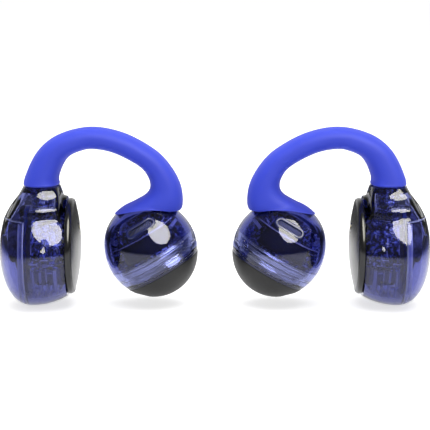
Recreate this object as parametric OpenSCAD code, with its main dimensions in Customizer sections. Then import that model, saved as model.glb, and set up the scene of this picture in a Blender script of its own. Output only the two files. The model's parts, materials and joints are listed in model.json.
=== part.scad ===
// Pair of open-ear clip earphones. Each one is a transparent battery pod that sits behind
// the ear, a silicone-covered spring bridge, and a ball with the speaker in front of it.
// Millimetres, Z up, X along the pair. The origin lies midway between the two ear gaps.

/* [Pair] */
// Distance between the two ball centres
ball_spacing = 18.8; // [17:0.2:40]
// Distance from the bridges' tops down to the ear gap's middle
grip_drop = 7.6; // [6:0.1:9]

/* [Ball] */
// Diameter of the ball across its axis
ball_d = 13.5; // [13.2:0.1:14.4]
// Length of the ball along its axis
ball_length = 14.5; // [14.2:0.1:15.6]
// Lean of the ball's axis from the vertical, its top towards the pod
ball_tilt = 30; // [26:1:34]
// Height of the ball's centre above the pod's centre
ball_rise = 0.2; // [-0.2:0.1:0.8]
// Wall of the ball's shells
ball_wall = 0.8; // [0.6:0.05:0.9]
// Distance from the ball's centre down to the edge of the dark cap
cap_seam = 3.6; // [3.4:0.1:3.9]
// Height of the clear ring between cap and dome
ring_height = 3.2; // [3:0.1:3.4]
// Length of the microphone slot's trim
vent_length = 4.6; // [3.6:0.1:5.2]
// Width of the microphone slot's trim
vent_width = 1.6; // [1.4:0.1:2]
// Width of the trim's frame
vent_frame = 0.35; // [0.25:0.05:0.45]
// Length of the sound outlet
outlet_length = 4.8; // [4:0.1:5.4]
// Width of the sound outlet
outlet_width = 2.2; // [1.6:0.1:2.6]

/* [Speaker] */
// Diameter of the speaker's magnet
magnet_d = 4; // [3.6:0.1:4.2]
// Height of the speaker's magnet
magnet_h = 1.3; // [1.1:0.05:1.4]
// Air gap between the magnet and the voice coil
coil_gap = 0.35; // [0.3:0.05:0.45]
// Height of the voice coil
coil_h = 1.2; // [0.9:0.1:1.3]
// Wall of the yoke, the chamber and the basket
speaker_wall = 0.5; // [0.4:0.05:0.6]

/* [Pod] */
// Diameter of the pod
pod_d = 16.3; // [15.8:0.1:17]
// Depth of the outer dome, from its tip to the parting line
dome_depth = 4.8; // [4.7:0.1:5.6]
// Depth of the main shell, from the parting line to the disc
shell_depth = 5.1; // [4.8:0.1:5.8]
// Wall of the pod's shells
pod_wall = 0.9; // [0.7:0.05:1]
// Distance from the pod's outline in to the edge of the disc that faces the ball
disc_margin = 1.1; // [0.8:0.1:1.4]
// Height of the disc's centre above the pod's centre
disc_rise = 0.6; // [0:0.1:0.6]
// Thickness of the disc's rim
disc_h = 1; // [0.9:0.1:1.5]
// Crown of the disc's face
face_crown = 1; // [0.4:0.1:1.1]
// Thinnest wall of the frame round the battery cell
frame_wall = 0.7; // [0.6:0.1:1.3]
// Height of the battery cell
cell_h = 4.2; // [3.2:0.1:4.3]
// Diameter of the magnet that holds the pod in its case
case_magnet_d = 4.4; // [3:0.1:4.8]
// Diameter of a charging pin
pin_d = 0.7; // [0.5:0.05:0.8]
// Distance between the two charging pins
pin_pitch = 1.1; // [1:0.05:1.2]
// Diameter of a frame screw's head
screw_head_d = 1.3; // [1:0.05:1.3]

/* [Neck] */
// Width of the neck's top along the pair
neck_w = 5.2; // [4.8:0.1:5.8]
// Depth of the neck's top
neck_depth = 7.8; // [7:0.1:8.4]
// Height of the neck's top above the pod
neck_rise = 1.4; // [1.2:0.1:2]
// Distance from the parting line to the neck's axis
neck_offset = 1.4; // [1.1:0.1:1.8]

/* [Bridge] */
// Gap between the disc's face and the ball
clip_gap = 3.4; // [2.5:0.1:8]
// Height of the bridge's top above the neck
arch_rise = 8.6; // [7.6:0.1:11.6]
// Thickness of the bridge at its top
arch_t = 3.2; // [2.9:0.1:3.8]
// Depth of the bridge at its top
arch_depth = 6.4; // [5.6:0.1:7.4]
// Thickness of the bridge where it meets the foot
ankle_t = 4.6; // [4:0.1:5.2]
// Depth of the foot on the ball
foot_depth = 6.6; // [5.8:0.1:7.2]
// Angle from the vertical to the foot's heel, round the ball
heel_angle = 38; // [34:1:40]
// Angle from the vertical to the foot's toe, round the ball
toe_angle = 45; // [44:1:54]
// Thickness of the saddle between foot and ball
saddle_t = 0.3; // [0.2:0.05:0.4]
// Gap between the foot's sole and the saddle
foot_gap = 0.15; // [0.1:0.05:0.3]
// Gap between the sleeve's end and the neck
neck_gap = 0.15; // [0.1:0.05:0.25]
// Diameter of the spring wire
wire_d = 1; // [0.8:0.05:1.05]
// Width of the flexible cable
cable_w = 1.1; // [0.8:0.05:1.2]

/* [Hidden] */
$fn = 64;
slack = 0.1;              // assembly clearance between pieces of one body
cut = 20;                 // length of a cut that goes right through
skin = 0.03;              // clearance between surfaces that seat on each other
oval_power = 2.4;         // roundness of the bridge's and neck's section, 2 is an ellipse
dome_power = 2.2;         // roundness of the outer dome's profile

// ---- Ball, in its own frame: origin at its centre, Z along its axis to the top ----
ball_r = ball_d / 2;
ball_half = ball_length / 2;
ball_facets = 12;         // straight steps in a quarter of the ball's profile
ring_top = -cap_seam + ring_height;
vent_tip = 53;            // angle of the slot from the ball's top
vent_turn = -81;          // heading of the slot round the ball's axis
outlet_tip = 140;         // angle of the sound outlet from the ball's top
outlet_turn = 180;
mesh_t = 0.3;
mic_size = [1.5, 2.6, 0.9];

// ---- Pod, in its own frame: origin at the dome's tip, Z along its axis to the disc ----
pod_r = pod_d / 2;
disc_r = pod_r - disc_margin;
pod_facets = 12;
shell_end = dome_depth + shell_depth;
rear_reach = shell_depth + 4;   // length of the ellipse that the main shell's profile follows
disc_edge = 0.35;         // width of the rim round the face
disc_floor = 0.45;
lead_hole = 0.6;          // square hole in the rim's floor for the charging leads
face_t = 0.35;
face_seat = 0.15;         // depth of the face's edge below the rim's front
pod_depth = shell_end + disc_h + face_crown - face_seat;
board_t = 0.6;
board_back = dome_depth - 0.3;
board_margin = 0.8;       // room between the board's edge and the shell
board_r = pod_r - pod_wall - board_margin;
chip_h = 1;
// Corner and size of each chip on the board: shield can, radio, sensor, connector
CHIPS = [[[-4, -3], [3.4, 4.2]], [[0.4, -2.2], [2.4, 2.8]], [[0.2, 1.4], [2, 2]], [[-4.2, 2], [3, 1.2]]];
frame_gap = 0.4;          // distance from the parting line to the frame
cell_start = dome_depth + frame_gap - slack;
cell_r = shell_radius(cell_start + cell_h, pod_wall + slack) - frame_wall - slack;
cell_step = 0.4;          // the cell's lid is this much smaller in radius
frame_low = -1.8;         // lower edge of the frame, from the pod's centre
touch_r = 3.5;
touch_t = 0.5;
// Depth and height of each frame screw
frame_screw = [[dome_depth + 2.3, 1.3], [dome_depth + 3.5, 0.8]];
screw_shaft_r = 0.3;
screw_head_h = 0.3;
insert_rise = 2.2;        // height of the contact window's centre above the disc's centre
insert_margin = 0.35;
pin_seat = 0.2;           // floor left under each charging pin
pin_proud = 0.05;
case_magnet_drop = 1.6;

// ---- Places in an earphone: X from the ball's centre, Z from the pods' lowest point ----
ball_height = pod_r + ball_rise;
neck_top = pod_d + neck_rise;
arch_top = neck_top + arch_rise;
grip_height = arch_top - grip_drop;
ball_reach = sqrt(pow(ball_r * cos(ball_tilt), 2) + pow(ball_half * sin(ball_tilt), 2));
pod_x = -(ball_reach + clip_gap + pod_depth);
neck_x = pod_x + dome_depth + neck_offset;
neck_roof = 0.9;
neck_root = pod_d - 3.4;  // height at which the neck has run out into the pod
neck_root_w = neck_w + 3.7;
neck_root_depth = neck_depth + 2.6;
neck_root_x = neck_x - 1;
spigot_h = 1.2;           // the neck's spigot, which the sleeve's end fits over
spigot_w = neck_w / 2;
spigot_depth = neck_depth * 0.6;
ankle_rise = 2;           // height of the ankle above the ball's top
ankle_x = 2.3;            // distance of the ankle from the ball's centre
ball_top = ball_height + ball_radius(0);
ankle_z = ball_top + ankle_rise;
apex_x = neck_x + (ankle_x - neck_x) * 0.4;
apex_z = arch_top - arch_t / 2;
wire_side = -0.7;         // the wire lies on this side of the bridge's middle
cable_side = 0.75;
cable_t = 0.25;
channel_t = wire_d + 4 * slack;
channel_depth = 2 * max(cable_side + cable_w / 2, wire_d / 2 - wire_side) + 3 * slack;
anchor_drop = 2.2;        // height of the pod's anchor
frame_high = neck_top - neck_roof - anchor_drop - 3 * slack - pod_r;  // flat on the frame's top
wire_floor = 0.4;         // floor left under the wire in each anchor
ball_anchor_r = 1.6;
ball_anchor_low = ball_radius(0) - 3;    // height of the ball's anchor above the ball's centre
wire_end = ball_height + ball_anchor_low + 0.3;

sides = 16;               // corners of a bridge section
steps = 2;                // rings from one section of the bridge to the next

SIDES = ["left", "right"];
POD_NODES = ["outer_dome", "main_shell", "disc_rim", "disc_face", "cell_frame", "battery_cell",
    "main_board", "board_chips", "touch_pad", "case_magnet", "wire_anchor", "frame_screws",
    "charge_pins", "contact_window"];
BRIDGE_NODES = ["bridge_sleeve", "spring_wire", "flex_cable"];
BALL_NODES = ["ball_shell", "ring_band", "sound_cap", "saddle", "ball_anchor", "rear_chamber",
    "driver_basket", "driver_yoke", "driver_magnet", "diaphragm", "vent_trim"];
PAIR_NODES = ["voice_coils", "vent_meshes", "vent_mics", "outlet_meshes"];

// ------------------------------------------------------------------ shared shapes

// Radius of the ball's outside in the direction that leans this far from the vertical
function ball_radius(lean) = let (a = lean + ball_tilt)
    1 / sqrt(pow(cos(a) / ball_half, 2) + pow(sin(a) / ball_r, 2));

// Points of the ball's profile, this far inside its surface, from height z0 to z1
function ball_arc(inset, z0, z1) = let (
    r = ball_r - inset, h = ball_half - inset,
    a0 = asin(max(-1, z0 / h)), a1 = asin(min(1, z1 / h)),
    n = max(1, ceil(abs(a1 - a0) * ball_facets / 90)))
    [for (i = [0 : n]) let (a = a0 + (a1 - a0) * i / n) [max(0, r * cos(a)), h * sin(a)]];

function reversed(list) = [for (i = [len(list) - 1 : -1 : 0]) list[i]];

// A layer of the ball between two depths and two heights
module ball_layer(outer, inner, z0, z1) {
    rotate_extrude()
        polygon(concat(ball_arc(outer, z0, z1), reversed(ball_arc(inner, z0, z1))));
}

module ball_solid(inset) {
    rotate_extrude() polygon(ball_arc(inset, -ball_half, ball_half));
}

// Points of the pod's profile, this far inside its surface: the dome, then the main shell
function dome_arc(inset) = [for (i = [0 : pod_facets - 1]) let (a = 90 * i / pod_facets)
    [(pod_r - inset) * pow(sin(a), 2 / dome_power),
     dome_depth - (dome_depth - inset) * pow(cos(a), 2 / dome_power)]];
function shell_radius(z, inset) = pod_r * sqrt(1 - pow((z - dome_depth) / rear_reach, 2)) - inset;
function shell_arc(inset, z0, z1) = [for (i = [0 : 5]) let (z = z0 + (z1 - z0) * i / 5)
    [shell_radius(z, inset), z]];

module dome_solid(inset, over = 0) {
    rotate_extrude() polygon(concat(dome_arc(inset),
        [[pod_r - inset, dome_depth + over], [0, dome_depth + over]]));
}

module shell_solid(inset, z0, z1) {
    rotate_extrude() polygon(concat([[0, z0]], shell_arc(inset, z0, z1), [[0, z1]]));
}

// Corners of a rounded oval, widths w along X and depth d along Y
function oval(w, d) = [for (i = [0 : 2 * sides - 1]) let (a = 360 * i / (2 * sides))
    [w / 2 * sign(cos(a)) * pow(abs(cos(a)), 2 / oval_power),
     d / 2 * sign(sin(a)) * pow(abs(sin(a)), 2 / oval_power)]];

// A slot with round ends, its length along Y
module slot(length, width) {
    square([width, length - width], center = true);
    for (end = [-1, 1]) translate([0, end * (length - width) / 2]) circle(d = width);
}

// ------------------------------------------------------------------ frames

// An earphone's pieces stand at their place, the right one mirrored from the left
module earphone(side) {
    mirror([side == "right" ? 1 : 0, 0, 0])
        translate([-ball_spacing / 2, 0, -grip_height]) children();
}

module ball_frame() {
    translate([0, 0, ball_height]) rotate([0, -ball_tilt, 0]) children();
}

module pod_frame() {
    translate([pod_x, 0, pod_r]) rotate([0, 90, 0]) children();
}

module disc_frame() {
    translate([pod_x, 0, pod_r + disc_rise]) rotate([0, 90, 0]) children();
}

module vent_place() {
    rotate([0, 0, vent_turn]) rotate([0, vent_tip, 0]) children();
}

module outlet_place() {
    rotate([0, 0, outlet_turn]) rotate([0, outlet_tip, 0]) children();
}

// A slot for the flexible cable, from here upward
module cable_slot() {
    linear_extrude(cut) square([cable_t + 2 * slack, cable_w + 2 * slack], center = true);
}

// ------------------------------------------------------------------ pod

// The neck, a flared oval that runs out into the pod
module neck_solid(inset, top) {
    hull() {
        translate([neck_x, 0, top - 0.1]) linear_extrude(0.1)
            polygon(oval(neck_w - 2 * inset, neck_depth - 2 * inset));
        translate([neck_root_x, 0, neck_root]) linear_extrude(0.1)
            polygon(oval(neck_root_w - 2 * inset, neck_root_depth - 2 * inset));
    }
}

module outer_dome() {
    color([0.35, 0.38, 0.75, 0.4]) difference() {
        pod_frame() difference() {
            dome_solid(0);
            dome_solid(pod_wall, 1);
        }
        neck_solid(0, neck_top);
    }
}

module main_shell() {
    color([0.3, 0.33, 0.7, 0.4]) difference() {
        union() {
            pod_frame() shell_solid(0, dome_depth, shell_end);
            neck_solid(0, neck_top);
            translate([neck_x, 0, neck_top - 0.1]) linear_extrude(spigot_h + 0.1)
                polygon(oval(spigot_w, spigot_depth));
        }
        pod_frame() {
            dome_solid(pod_wall, slack);
            shell_solid(pod_wall, dome_depth, shell_end + slack);
        }
        neck_solid(pod_wall, neck_top - neck_roof);
        translate([neck_x, wire_side, neck_top - neck_roof - slack])
            cylinder(h = cut, d = channel_t);
        translate([neck_x, cable_side, neck_top - neck_roof - slack])
            cable_slot();
    }
}

module disc_rim() {
    r = disc_r;
    edge = 0.3;
    color([0.07, 0.07, 0.08]) disc_frame() translate([0, 0, shell_end])
        difference() {
            rotate_extrude() polygon([[0, 0], [r - edge / 2, 0], [r, edge / 2],
                [r, disc_h - edge], [r - edge, disc_h], [r - disc_edge, disc_h],
                [r - disc_edge, disc_floor], [0, disc_floor]]);
            cube([lead_hole, lead_hole, cut], center = true);
        }
}

module disc_face() {
    r = disc_r - disc_edge - slack;
    low = shell_end + disc_h - face_seat;
    crown = [for (i = [0 : 6]) let (x = r * i / 6) [x, low + face_crown * (1 - pow(x / r, 2))]];
    hollow = [for (i = [6 : -1 : 0]) [crown[i][0], crown[i][1] - face_t]];
    color([0.42, 0.43, 0.45]) disc_frame() difference() {
        rotate_extrude() polygon(concat(crown, hollow));
        contact_outline(skin, shell_end, cut);
    }
}

// The contact window's outline, this much bigger all round, as a prism
module contact_outline(grow, z, h) {
    translate([-insert_rise, 0, z]) rotate([0, 0, 90]) linear_extrude(h)
        slot(pin_pitch + pin_d + 2 * insert_margin + 2 * grow,
             pin_d + 2 * insert_margin + 2 * grow);
}

face_level = shell_end + disc_h - face_seat
    + face_crown * (1 - pow(insert_rise / (disc_r - disc_edge), 2));

module contact_window() {
    z = shell_end + disc_floor;
    color([0.03, 0.03, 0.04]) disc_frame() difference() {
        contact_outline(0, z, face_level - z);
        pin_places() translate([0, 0, z + pin_seat]) cylinder(h = cut, d = pin_d + 2 * skin);
    }
}

module charge_pins() {
    z = shell_end + disc_floor + pin_seat;
    color([0.85, 0.68, 0.3]) disc_frame() pin_places()
        translate([0, 0, z]) cylinder(h = face_level + pin_proud - z, d = pin_d);
}

module pin_places() {
    for (end = [-1, 1]) translate([end * pin_pitch / 2 - insert_rise, 0, 0]) children();
}

// The magnet fills the room between the rim's floor and the hollow of the face
module case_magnet() {
    reach = (case_magnet_drop + case_magnet_d / 2) / (disc_r - disc_edge - slack);
    h = disc_h - face_seat + face_crown * (1 - pow(reach, 2)) - face_t - disc_floor - skin;
    color([0.6, 0.6, 0.62]) disc_frame()
        translate([case_magnet_drop, 0, shell_end + disc_floor])
            cylinder(h = h, d = case_magnet_d);
}

// The heads lie just under the frame's surface, and the shafts end just over the cell
screw_head_r = screw_head_d / 2;
screw_face = sqrt(
    pow(shell_radius(frame_screw[1][0] + screw_head_r, pod_wall + slack), 2)
    - pow(frame_screw[0][1] + screw_head_r, 2));
screw_length = screw_face - cell_r - slack;

module screw_places() {
    for (s = frame_screw) translate([-s[1], -screw_face, s[0]]) rotate([-90, 0, 0]) children();
}

module cell_frame() {
    z0 = dome_depth + frame_gap;
    color([0.07, 0.08, 0.42]) pod_frame() difference() {
        shell_solid(pod_wall + slack, z0, shell_end - slack);
        cylinder(h = cut, r = cell_r + slack);
        translate([-frame_low, -pod_r, 0]) cube([pod_d, pod_d, pod_d]);
        translate([-frame_high - pod_d, -pod_r, 0]) cube([pod_d, pod_d, pod_d]);
        screw_places() {
            translate([0, 0, screw_face - pod_r])
                cylinder(h = pod_r - screw_face + screw_head_h, r = screw_head_r + skin);
            cylinder(h = pod_r - cell_r, r = screw_shaft_r + skin);
        }
    }
}

module frame_screws() {
    color([0.75, 0.75, 0.78]) pod_frame() screw_places() {
        cylinder(h = screw_head_h, r = screw_head_r);
        cylinder(h = screw_length, r = screw_shaft_r);
    }
}

module battery_cell() {
    lid = 0.6;
    color([0.55, 0.56, 0.6]) pod_frame() translate([0, 0, cell_start]) {
        cylinder(h = cell_h - lid, r = cell_r);
        cylinder(h = cell_h, r = cell_r - cell_step);
    }
}

module main_board() {
    color([0.05, 0.09, 0.3]) pod_frame() translate([0, 0, board_back - board_t])
        cylinder(h = board_t, r = board_r);
}

// The chips lie between the board's outer side and the touch pad, which they carry
module board_chips() {
    z = board_back - board_t - chip_h;
    color([0.1, 0.1, 0.12]) pod_frame()
        for (c = CHIPS) translate([c[0][0], c[0][1], z]) cube([c[1][0], c[1][1], chip_h]);
}

module touch_pad() {
    color([0.04, 0.05, 0.1]) pod_frame()
        translate([0, 0, board_back - board_t - chip_h - touch_t])
            cylinder(h = touch_t, r = touch_r);
}

module wire_anchor() {
    top = neck_top - neck_roof;
    color([0.5, 0.5, 0.53]) difference() {
        translate([neck_x, 0, top - anchor_drop]) linear_extrude(anchor_drop)
            polygon(oval(neck_w - 2 * pod_wall - 2 * slack, neck_depth - 2 * pod_wall - 2 * slack));
        translate([neck_x, wire_side, top - anchor_drop + wire_floor])
            cylinder(h = cut, d = wire_d + 2 * skin);
        translate([neck_x, cable_side, top - cut / 2]) cable_slot();
    }
}

// ------------------------------------------------------------------ bridge

// Stations on the way from the neck to the top and from the top to the ankle: shares of
// the way along X and Z, heading of the section's outer edge, share of the change in size
NECK_TO_TOP = [[0, 0, 180, 0], [0.01, 0.2, 180, 0.17], [0.2, 0.62, 171, 0.3],
    [0.39, 0.8, 156, 0.43], [0.6, 0.91, 139, 0.65]];
TOP_TO_ANKLE = [[0, 0, 93, 0], [0.38, 0.11, 60, 0.02], [0.76, 0.42, 43, 0.06],
    [0.88, 0.61, 30, 0.22], [0.96, 0.81, 17, 0.5], [1, 1, 4, 1]];

function mix(a, b, f) = a + (b - a) * f;

// A section: its outer and its inner edge, its depth, and the channel's middle
function section(from, to, s) = let (
    c = [mix(from[0], to[0], s[0]), mix(from[1], to[1], s[1])],
    t = mix(from[2], to[2], s[3]) / 2,
    e = [t * cos(s[2]), t * sin(s[2])])
    [c[0] + e[0], c[1] + e[1], c[0] - e[0], c[1] - e[1], mix(from[3], to[3], s[3]), c[0], c[1]];

// A point over the ball, at this lean from the vertical and this height above the saddle
function over_ball(lean, rise) = let (r = ball_radius(lean) + saddle_t + foot_gap + rise)
    [r * sin(lean), ball_height + r * cos(lean)];

function foot_section(heel, heel_rise, toe, toe_rise, depth, spine_z) = let (
    o = over_ball(heel, heel_rise), i = over_ball(toe, toe_rise))
    [o[0], o[1], i[0], i[1], depth, ankle_x, spine_z];

neck_end = [neck_x, neck_top + neck_gap, neck_w, neck_depth];
top_end = [apex_x, apex_z, arch_t, arch_depth];
ankle_end = [ankle_x, ankle_z, ankle_t, foot_depth];
sole_z = over_ball(asin(ankle_x / ball_radius(0)), 0)[1];

SECTIONS = concat(
    [for (s = NECK_TO_TOP) section(neck_end, top_end, s)],
    [for (s = TOP_TO_ANKLE) section(top_end, ankle_end, s)],
    [foot_section(heel_angle - 4, 1.5, -5, 0.5, foot_depth + 0.2, mix(ankle_z, sole_z, 0.4)),
     foot_section(heel_angle, 0.6, -toe_angle * 0.45, 0.1, foot_depth + 0.3,
        mix(ankle_z, sole_z, 0.7)),
     foot_section(heel_angle, 0, -toe_angle, 0, foot_depth, mix(ankle_z, sole_z, 0.9))]);

// A smooth curve through a list of rows, and all of its rows
function between(p, i, t) = let (
    a = p[max(i - 1, 0)], b = p[i], c = p[i + 1], d = p[min(i + 2, len(p) - 1)])
    0.5 * (2 * b + (c - a) * t + (2 * a - 5 * b + 4 * c - d) * t * t
        + (3 * b - a - 3 * c + d) * t * t * t);
function smooth(p) = concat(
    [for (i = [0 : len(p) - 2], k = [0 : steps - 1]) between(p, i, k / steps)],
    [p[len(p) - 1]]);

// A ring of corners round a middle in the plane of a section
function ring(s, middle, w, d) = let (n = [s[0] - s[2], s[1] - s[3]], u = n / norm(n))
    [for (i = [0 : sides - 1]) let (
        a = 360 * i / sides,
        p = w / 2 * sign(cos(a)) * pow(abs(cos(a)), 2 / oval_power),
        y = d / 2 * sign(sin(a)) * pow(abs(sin(a)), 2 / oval_power))
        [middle[0] + p * u[0], y, middle[1] + p * u[1]]];

// How far out a point lies, where 1 is just over the saddle
function out_of_ball(p) = let (
    q = p - [0, 0, ball_height],
    along = q * [-sin(ball_tilt), 0, cos(ball_tilt)],
    across = sqrt(max(0, q * q - along * along)),
    grow = saddle_t + foot_gap)
    sqrt(pow(along / (ball_half + grow), 2) + pow(across / (ball_r + grow), 2));

// A point moved straight to or from the ball's centre until it lies just over the saddle
function on_saddle(p) = [0, 0, ball_height] + (p - [0, 0, ball_height]) / out_of_ball(p);

// The sleeve's outside at a section, kept clear of the saddle
function outer_ring(s) = [for (p = ring(s, [s[0] + s[2], s[1] + s[3]] / 2,
    norm([s[0] - s[2], s[1] - s[3]]), s[4])) out_of_ball(p) < 1 ? on_saddle(p) : p];

ROWS = smooth(SECTIONS);
last = len(ROWS) - 1;

// A closed tube through rings of equal count, the last ring joined to the first
module ring_loop(rings) {
    n = len(rings[0]);
    m = len(rings);
    polyhedron([for (r = rings, p = r) p],
        [for (i = [0 : m - 1], k = [0 : n - 1]) let (
            a = i * n + k, b = i * n + (k + 1) % n,
            c = (i + 1) % m * n + k, d = (i + 1) % m * n + (k + 1) % n)
            each [[a, c, b], [b, c, d]]]);
}

// A solid through rings, closed at both ends
module ring_stack(rings) {
    n = len(rings[0]);
    m = len(rings);
    polyhedron([for (r = rings, p = r) p],
        concat(
            [[for (k = [0 : n - 1]) k]],
            [[for (k = [n - 1 : -1 : 0]) (m - 1) * n + k]],
            [for (i = [0 : m - 2], k = [0 : n - 1]) let (
                a = i * n + k, b = i * n + (k + 1) % n, c = a + n, d = b + n)
                each [[a, c, b], [b, c, d]]]));
}

module bridge_sleeve() {
    outer = [for (r = ROWS) outer_ring(r)];
    sole = outer_ring(ROWS[last]);
    hole = ring([1, 0, 0, 0], [ankle_x, sole_z], channel_t, channel_depth);
    soles = [for (f = [0 : 0.2 : 1])
        [for (k = [0 : sides - 1]) on_saddle(mix(sole[k], hole[k], f))]];
    channel = [for (i = [last - 1 : -1 : 2 * steps - 1])
        ring(ROWS[i], [ROWS[i][5], ROWS[i][6]], channel_t, channel_depth)];
    socket_w = spigot_w + 3 * slack;
    socket_d = spigot_depth + 3 * slack;
    socket_top = neck_top + spigot_h + slack;
    socket = [
        ring([0, 0, 1, 0], [neck_x, socket_top], channel_t, channel_depth),
        ring([0, 0, 1, 0], [neck_x, socket_top], socket_w, socket_d),
        ring([0, 0, 1, 0], [neck_x, neck_top + neck_gap], socket_w, socket_d)];
    color([0.27, 0.33, 0.9])
        ring_loop(concat([for (i = [0 : last - 1]) outer[i]], soles, channel, socket));
}

// The wire's and the cable's middle line through the bridge, down into both ends
function spine(low, high) = concat(
    [[neck_x, low]],
    [for (i = [0 : last]) [ROWS[i][5], ROWS[i][6]]],
    [[ankle_x, high]]);

function strip_ring(line, i, y, w, d, n) = let (
    a = line[max(i - 1, 0)], b = line[min(i + 1, len(line) - 1)],
    t = (b - a) / norm(b - a), u = [-t[1], t[0]])
    [for (k = [0 : n - 1]) let (q = 360 * (k + 0.5) / n, c = cos(180 / n))
        [line[i][0] + w / 2 * cos(q) / c * u[0], y + d / 2 * sin(q) / c,
         line[i][1] + w / 2 * cos(q) / c * u[1]]];

module spring_wire() {
    line = spine(neck_top - neck_roof - anchor_drop + wire_floor + slack, wire_end);
    color([0.7, 0.7, 0.74]) ring_stack([for (i = [0 : len(line) - 1])
        strip_ring(line, i, wire_side, wire_d * cos(22.5), wire_d * cos(22.5), 8)]);
}

module flex_cable() {
    line = spine(neck_top - neck_roof - anchor_drop - slack, wire_end);
    color([0.75, 0.45, 0.15]) ring_stack([for (i = [0 : len(line) - 1])
        strip_ring(line, i, cable_side, cable_t, cable_w, 4)]);
}

// ------------------------------------------------------------------ ball

module wire_passage() {
    translate([ankle_x, 0, ball_height + ball_anchor_low]) linear_extrude(cut)
        polygon(oval(channel_t, channel_depth));
}

module ball_shell() {
    color([0.16, 0.18, 0.55, 0.5]) difference() {
        ball_frame() difference() {
            ball_layer(0, ball_wall, ring_top, ball_half);
            vent_place() linear_extrude(ball_d)
                slot(vent_length + 2 * skin, vent_width + 2 * skin);
        }
        wire_passage();
    }
}

module ring_band() {
    color([0.55, 0.57, 0.9, 0.4]) ball_frame() ball_layer(0, ball_wall, -cap_seam, ring_top);
}

module sound_cap() {
    color([0.15, 0.15, 0.16]) ball_frame() difference() {
        ball_layer(0, ball_wall, -ball_half, -cap_seam);
        outlet_place() linear_extrude(ball_d)
            slot(outlet_length + 2 * skin, outlet_width + 2 * skin);
    }
}

module outlet_meshes() {
    for (side = SIDES) color([0.3, 0.3, 0.32]) earphone(side) ball_frame() intersection() {
        ball_layer(ball_wall / 4, ball_wall / 4 + mesh_t, -ball_half, 0);
        outlet_place() linear_extrude(ball_d) slot(outlet_length, outlet_width);
    }
}

module vent_trim() {
    color([0.1, 0.11, 0.4]) ball_frame() intersection() {
        ball_layer(-skin, ball_wall + 0.2, 0, ball_half);
        vent_place() linear_extrude(ball_d) difference() {
            slot(vent_length, vent_width);
            slot(vent_length - 2 * vent_frame, vent_width - 2 * vent_frame);
        }
    }
}

module vent_meshes() {
    for (side = SIDES) color([0.45, 0.46, 0.6]) earphone(side) ball_frame() intersection() {
        ball_layer(ball_wall / 2, ball_wall / 2 + mesh_t, 0, ball_half);
        vent_place() linear_extrude(ball_d)
            slot(vent_length - 2 * vent_frame - 2 * skin, vent_width - 2 * vent_frame - 2 * skin);
    }
}

module vent_mics() {
    for (side = SIDES) color([0.7, 0.65, 0.45]) earphone(side) ball_frame() vent_place()
        translate([0, 0, ball_r - ball_wall - 0.6 - mic_size[2] / 2]) cube(mic_size, center = true);
}

module saddle() {
    lean = (heel_angle - toe_angle) / 2;
    reach = 2 * ball_r * sin((heel_angle + toe_angle) / 2) - 0.4;
    color([0.05, 0.05, 0.06]) difference() {
        intersection() {
            ball_frame() ball_layer(-saddle_t, -skin, 0, ball_half + saddle_t);
            translate([0, 0, ball_height]) rotate([0, lean, 0]) linear_extrude(ball_length)
                polygon(oval(reach, foot_depth - 0.4));
        }
        wire_passage();
    }
}

module ball_anchor() {
    color([0.5, 0.5, 0.53]) difference() {
        intersection() {
            translate([ankle_x, 0, ball_height + ball_anchor_low])
                cylinder(h = cut, r = ball_anchor_r);
            ball_frame() ball_solid(ball_wall + slack);
        }
        wire_passage_in_anchor();
    }
}

module wire_passage_in_anchor() {
    translate([ankle_x, wire_side, wire_end - slack]) cylinder(h = cut, d = wire_d + 2 * slack);
    translate([ankle_x, cable_side, wire_end - slack]) cable_slot();
}

// Radius of the basket's outside at a height
function basket_radius(z) = (ball_r - ball_wall - slack)
    * sqrt(1 - pow(z / (ball_half - ball_wall - slack), 2));

// Speaker, from its cone at the cap to its chamber at the top
basket_low = -cap_seam + slack;
basket_high = ring_top - slack;
basket_rim = 0.45;        // thinnest wall of the basket, at the cap
cone_r = basket_radius(basket_low) - basket_rim;
coil_d = magnet_d + 2 * coil_gap;
yoke_gap = 0.35;          // air between the yoke's wall and the coil
coil_t = 0.25;
yoke_r = coil_d / 2 + coil_t + yoke_gap + speaker_wall;
yoke_top = 0.3;
yoke_low = yoke_top - speaker_wall - magnet_h - 0.2;
cone_z = yoke_low - 0.4;
chamber_top = ring_top + 3;
chamber_r = ball_r - ball_wall - 3 * slack;
chamber_top_r = chamber_r - 3;

module driver_basket() {
    arc = ball_arc(ball_wall + slack, basket_low, basket_high);
    color([0.2, 0.21, 0.35]) ball_frame() difference() {
        rotate_extrude() polygon(concat(arc, [[0, basket_high], [0, basket_low]]));
        translate([0, 0, basket_high - speaker_wall - cut]) cylinder(h = cut, r = cone_r);
        cylinder(h = cut, r = yoke_r + skin, center = true);
    }
}

module driver_yoke() {
    color([0.5, 0.5, 0.52]) ball_frame() difference() {
        translate([0, 0, yoke_low]) cylinder(h = yoke_top - yoke_low, r = yoke_r);
        translate([0, 0, yoke_top - speaker_wall - cut])
            cylinder(h = cut, r = yoke_r - speaker_wall);
    }
}

module driver_magnet() {
    color([0.62, 0.62, 0.66]) ball_frame()
        translate([0, 0, yoke_top - speaker_wall - magnet_h]) cylinder(h = magnet_h, d = magnet_d);
}

module voice_coils() {
    for (side = SIDES) color([0.8, 0.42, 0.2]) earphone(side) ball_frame()
        translate([0, 0, cone_z]) difference() {
            cylinder(h = coil_h, r = coil_d / 2 + coil_t);
            cylinder(h = cut, d = coil_d, center = true);
        }
}

module diaphragm() {
    r = coil_d / 2 + coil_t;
    dome = 0.5;
    t = 0.15;
    color([0.75, 0.76, 0.8]) ball_frame() translate([0, 0, cone_z]) rotate_extrude()
        polygon([[0, -dome - t], [r / 2, -dome * 0.75 - t], [r, -t], [cone_r - slack, -t],
            [cone_r - slack, 0], [r, 0], [r / 2, t - dome * 0.75 - t], [0, -dome]]);
}

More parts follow.
